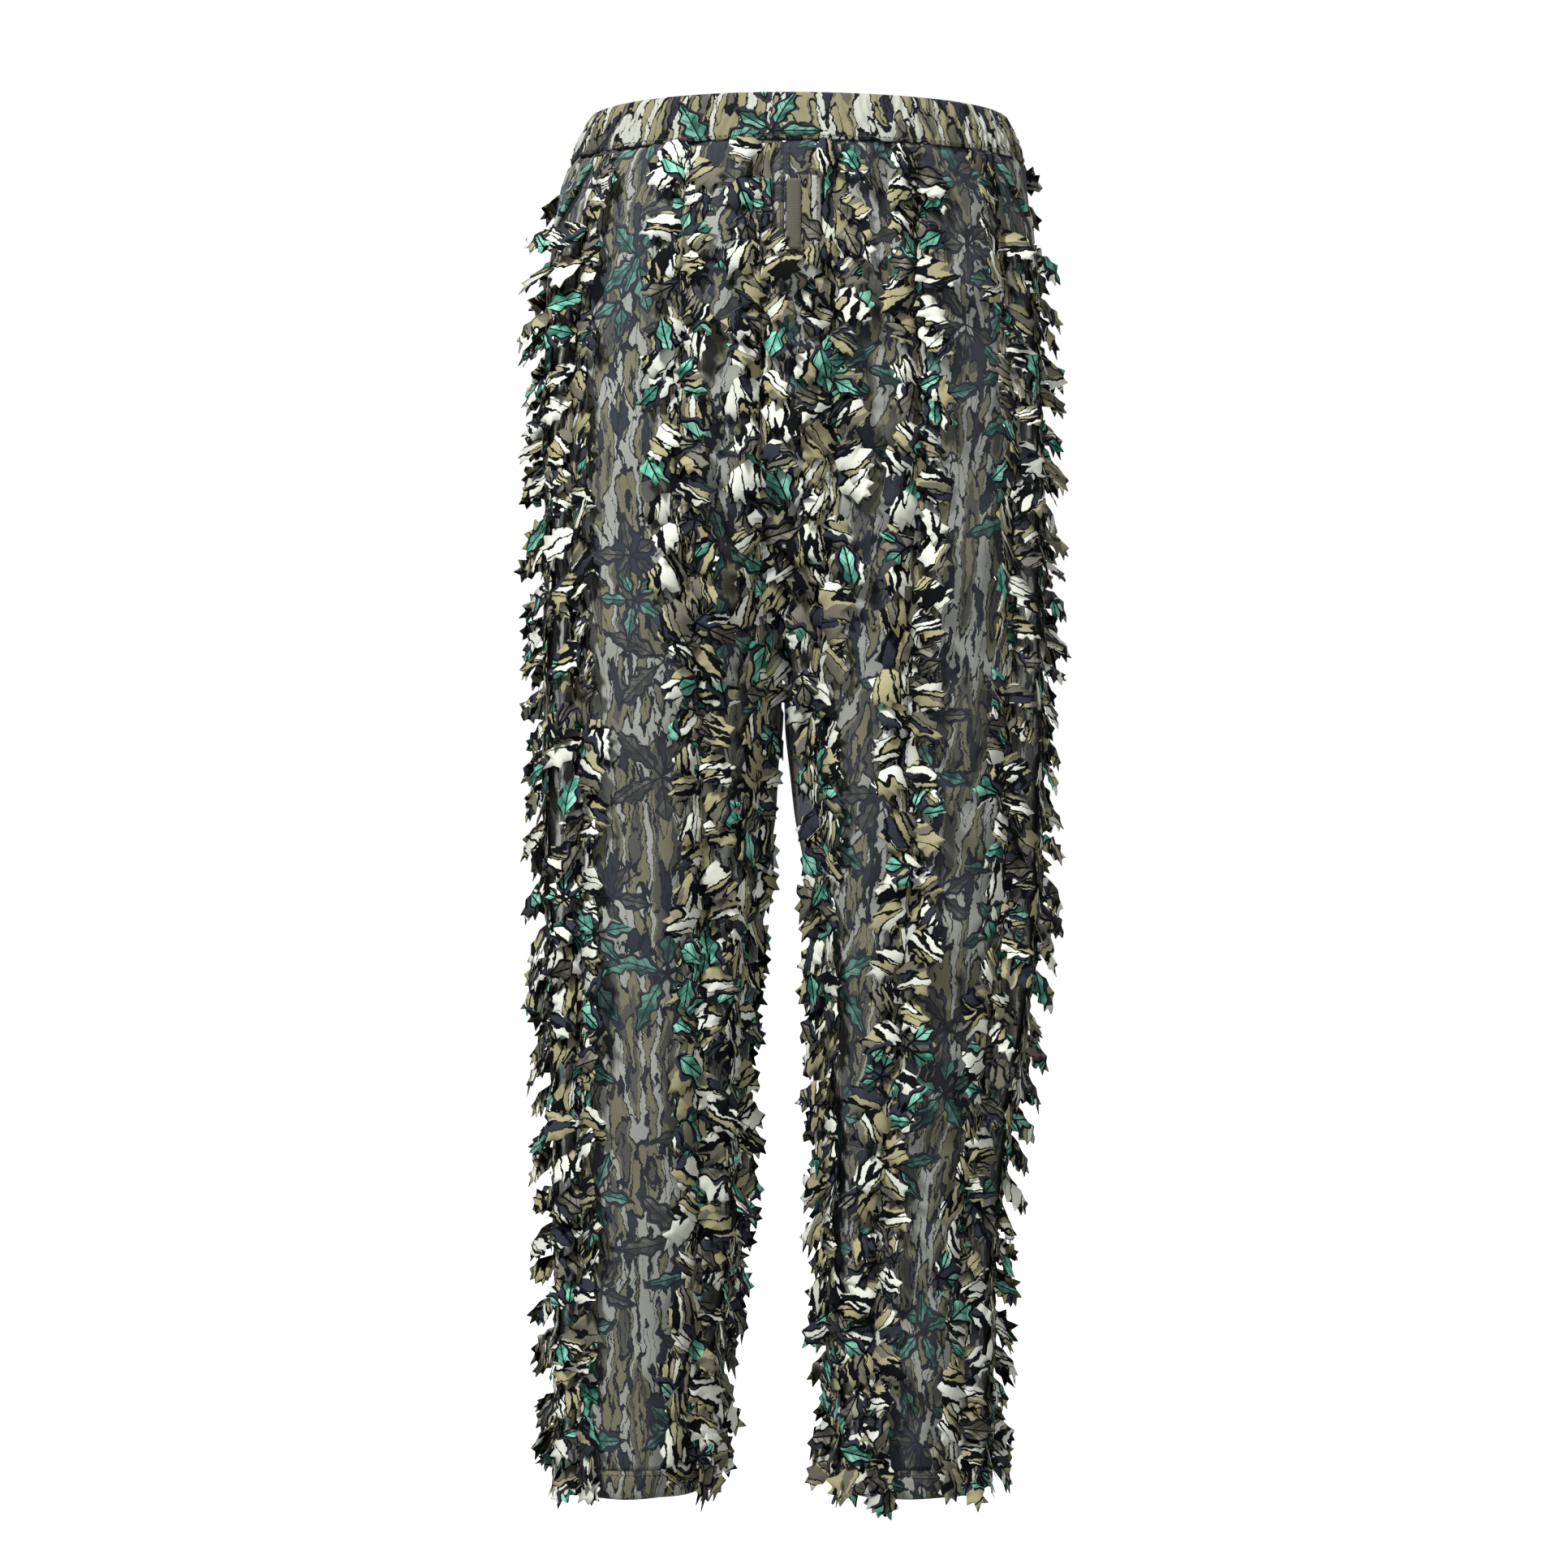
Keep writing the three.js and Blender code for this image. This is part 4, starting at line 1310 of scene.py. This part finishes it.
def leg_row(side, angle, z, stand):
    """A row on the leg cloth, as points and outward directions."""
    line = cloth_point(side, angle, z, stand)
    return line, unit(body_point(side, angle, z, 0.01) - body_point(side, angle, z))


def strip_rows(side):
    rows = []
    for name in SEWN_AT[side]:
        top = BAND_Z - 0.005 if name != "side_front" else SIDE_STRIP_TOP - 0.001
        z = np.linspace(top, HEM_Z * 0.6, 500)
        place, up, across, out = strip_frame(side, name, z)
        rows.append((place + out * 0.0015, out))
    return rows


for side in SIDES:
    thread_piece("leaf_strip_thread_" + side, strip_rows(side))

# %% [markdown]
# ## Waist, hem, fly, pocket and seam rows
# The other rows follow lines that the pieces above are already made of: round the foot of the waistband
# and the top of each hem, along three sides of the fly, beside each pocket mouth, and on both sides of
# the centre front seam. Each is a dense line of points and the directions off the cloth.

# %% Waist, hem, fly, pocket and seam rows
around = np.linspace(0, math.tau, 1400)
band_z = np.full_like(around, BAND_Z + 0.003)
band_line = waist_point(around, 0.0012 + pucker(around, band_z), band_z)
band_out = unit(waist_point(around, 0.01, band_z) - waist_point(around, 0.0, band_z))
hem_z = np.full_like(around, HEM_Z - 0.003)
hem_rows = [leg_row(side, around, hem_z, 0.0009) for side in SIDES]
thread_piece("waist_and_hem_thread", [(band_line, band_out)] + hem_rows)

along = np.linspace(0.0, 1.0, 60)
inset_u, inset_v = 0.0022 / FLY_SIZE[0], 0.0022 / FLY_SIZE[1]
fly_out = np.tile([0.0, -1.0, 0.0], (60, 1))
fly_rows = []
still = 0 * along
for u, v in ((inset_u + still, along), (1 - inset_u + still, along), (along, inset_v + still)):
    fly_rows.append((fly_place(u, v) + fly_out * 0.0013, fly_out))
pocket_z = np.linspace(POCKET_BOTTOM, POCKET_TOP, 60)
welt_rows = [leg_row(side, pocket_angle(side, pocket_z, -0.0115), pocket_z, 0.0004) for side in SIDES]
seam_z = np.linspace(BAND_Z - 0.004, CROTCH_Z + 0.03, 400)
seam_rows = []
for side in SIDES:
    for turn in (1, -1):
        beside_seam = angle_at(section(side, seam_z), 0.003) * turn
        seam_rows.append(leg_row(side, beside_seam, seam_z, 0.0004))
thread_piece("fly_pocket_and_seam_thread", fly_rows + welt_rows + seam_rows)
bpy.data.meshes.remove(stitch_mesh)
for mesh, area in flat_leaves:
    bpy.data.meshes.remove(mesh)

# %% [markdown]
# ## Floor and light
# A pale floor a little below the lowest leaf and a white room, both evenly bright, as on a lit paper
# sweep. The light on the cloth comes from a soft lamp high on the left, which throws short shadows
# under the leaves, from a larger and weaker one on the right, which opens them up, and from one behind.
# The Light Path node lets the room look white without flooding the trousers with its light.

# %% Floor, lamps and room
AMBIENT = 0.11
FLOOR_Z, FLOOR_SIZE = -0.05, 30
AIM_Z = 0.55


def seen_by_camera(tree, low, high):
    """A number that is high where the camera looks straight at it, and low for the light it gives."""
    path = tree.nodes.new("ShaderNodeLightPath")
    blend = tree.nodes.new("ShaderNodeMath")
    blend.operation = "MULTIPLY_ADD"
    tree.links.new(path.outputs["Is Camera Ray"], blend.inputs[0])
    blend.inputs[1].default_value = high - low
    blend.inputs[2].default_value = low
    return blend.outputs[0]


def floor():
    bm = bmesh.new()
    bmesh.ops.create_grid(bm, x_segments=1, y_segments=1, size=FLOOR_SIZE)
    bmesh.ops.translate(bm, verts=bm.verts, vec=(0, 0, FLOOR_Z))
    paper = Ink("white_paper_floor")
    paper.shader.inputs["Base Color"].default_value = (0.3, 0.3, 0.3, 1)
    paper.shader.inputs["Roughness"].default_value = 0.9
    paper.shader.inputs["Emission Color"].default_value = (1, 1, 1, 1)
    paper.put(paper.shader.inputs["Emission Strength"], seen_by_camera(paper.tree, 0.05, 1.0))
    piece = new_piece("floor", bm, paper.material, smooth=False)


def lamp(name, place, size, power):
    light = bpy.data.lights.new(name, "AREA")
    light.shape = "DISK"
    light.size = size
    light.energy = power
    piece = bpy.data.objects.new(name, light)
    bpy.context.collection.objects.link(piece)
    piece.location = place
    aim = Vector((MIDDLE_X, MIDDLE_Y, AIM_Z)) - Vector(place)
    piece.rotation_euler = aim.to_track_quat("-Z", "Y").to_euler()


floor()
lamp("key_lamp", (-1.5, -2.0, 3.0), 0.55, 208)
lamp("fill_lamp", (2.2, -2.4, 1.6), 1.8, 58)
lamp("back_lamp", (0.4, 2.6, 2.6), 1.5, 90)
world = bpy.data.worlds.new("white_room")
world.use_nodes = True
room = world.node_tree.nodes["Background"]
room.inputs["Color"].default_value = (1, 1, 1, 1)
world.node_tree.links.new(seen_by_camera(world.node_tree, AMBIENT, 1.0), room.inputs["Strength"])
bpy.context.scene.world = world
bpy.context.scene.view_settings.view_transform = "Standard"
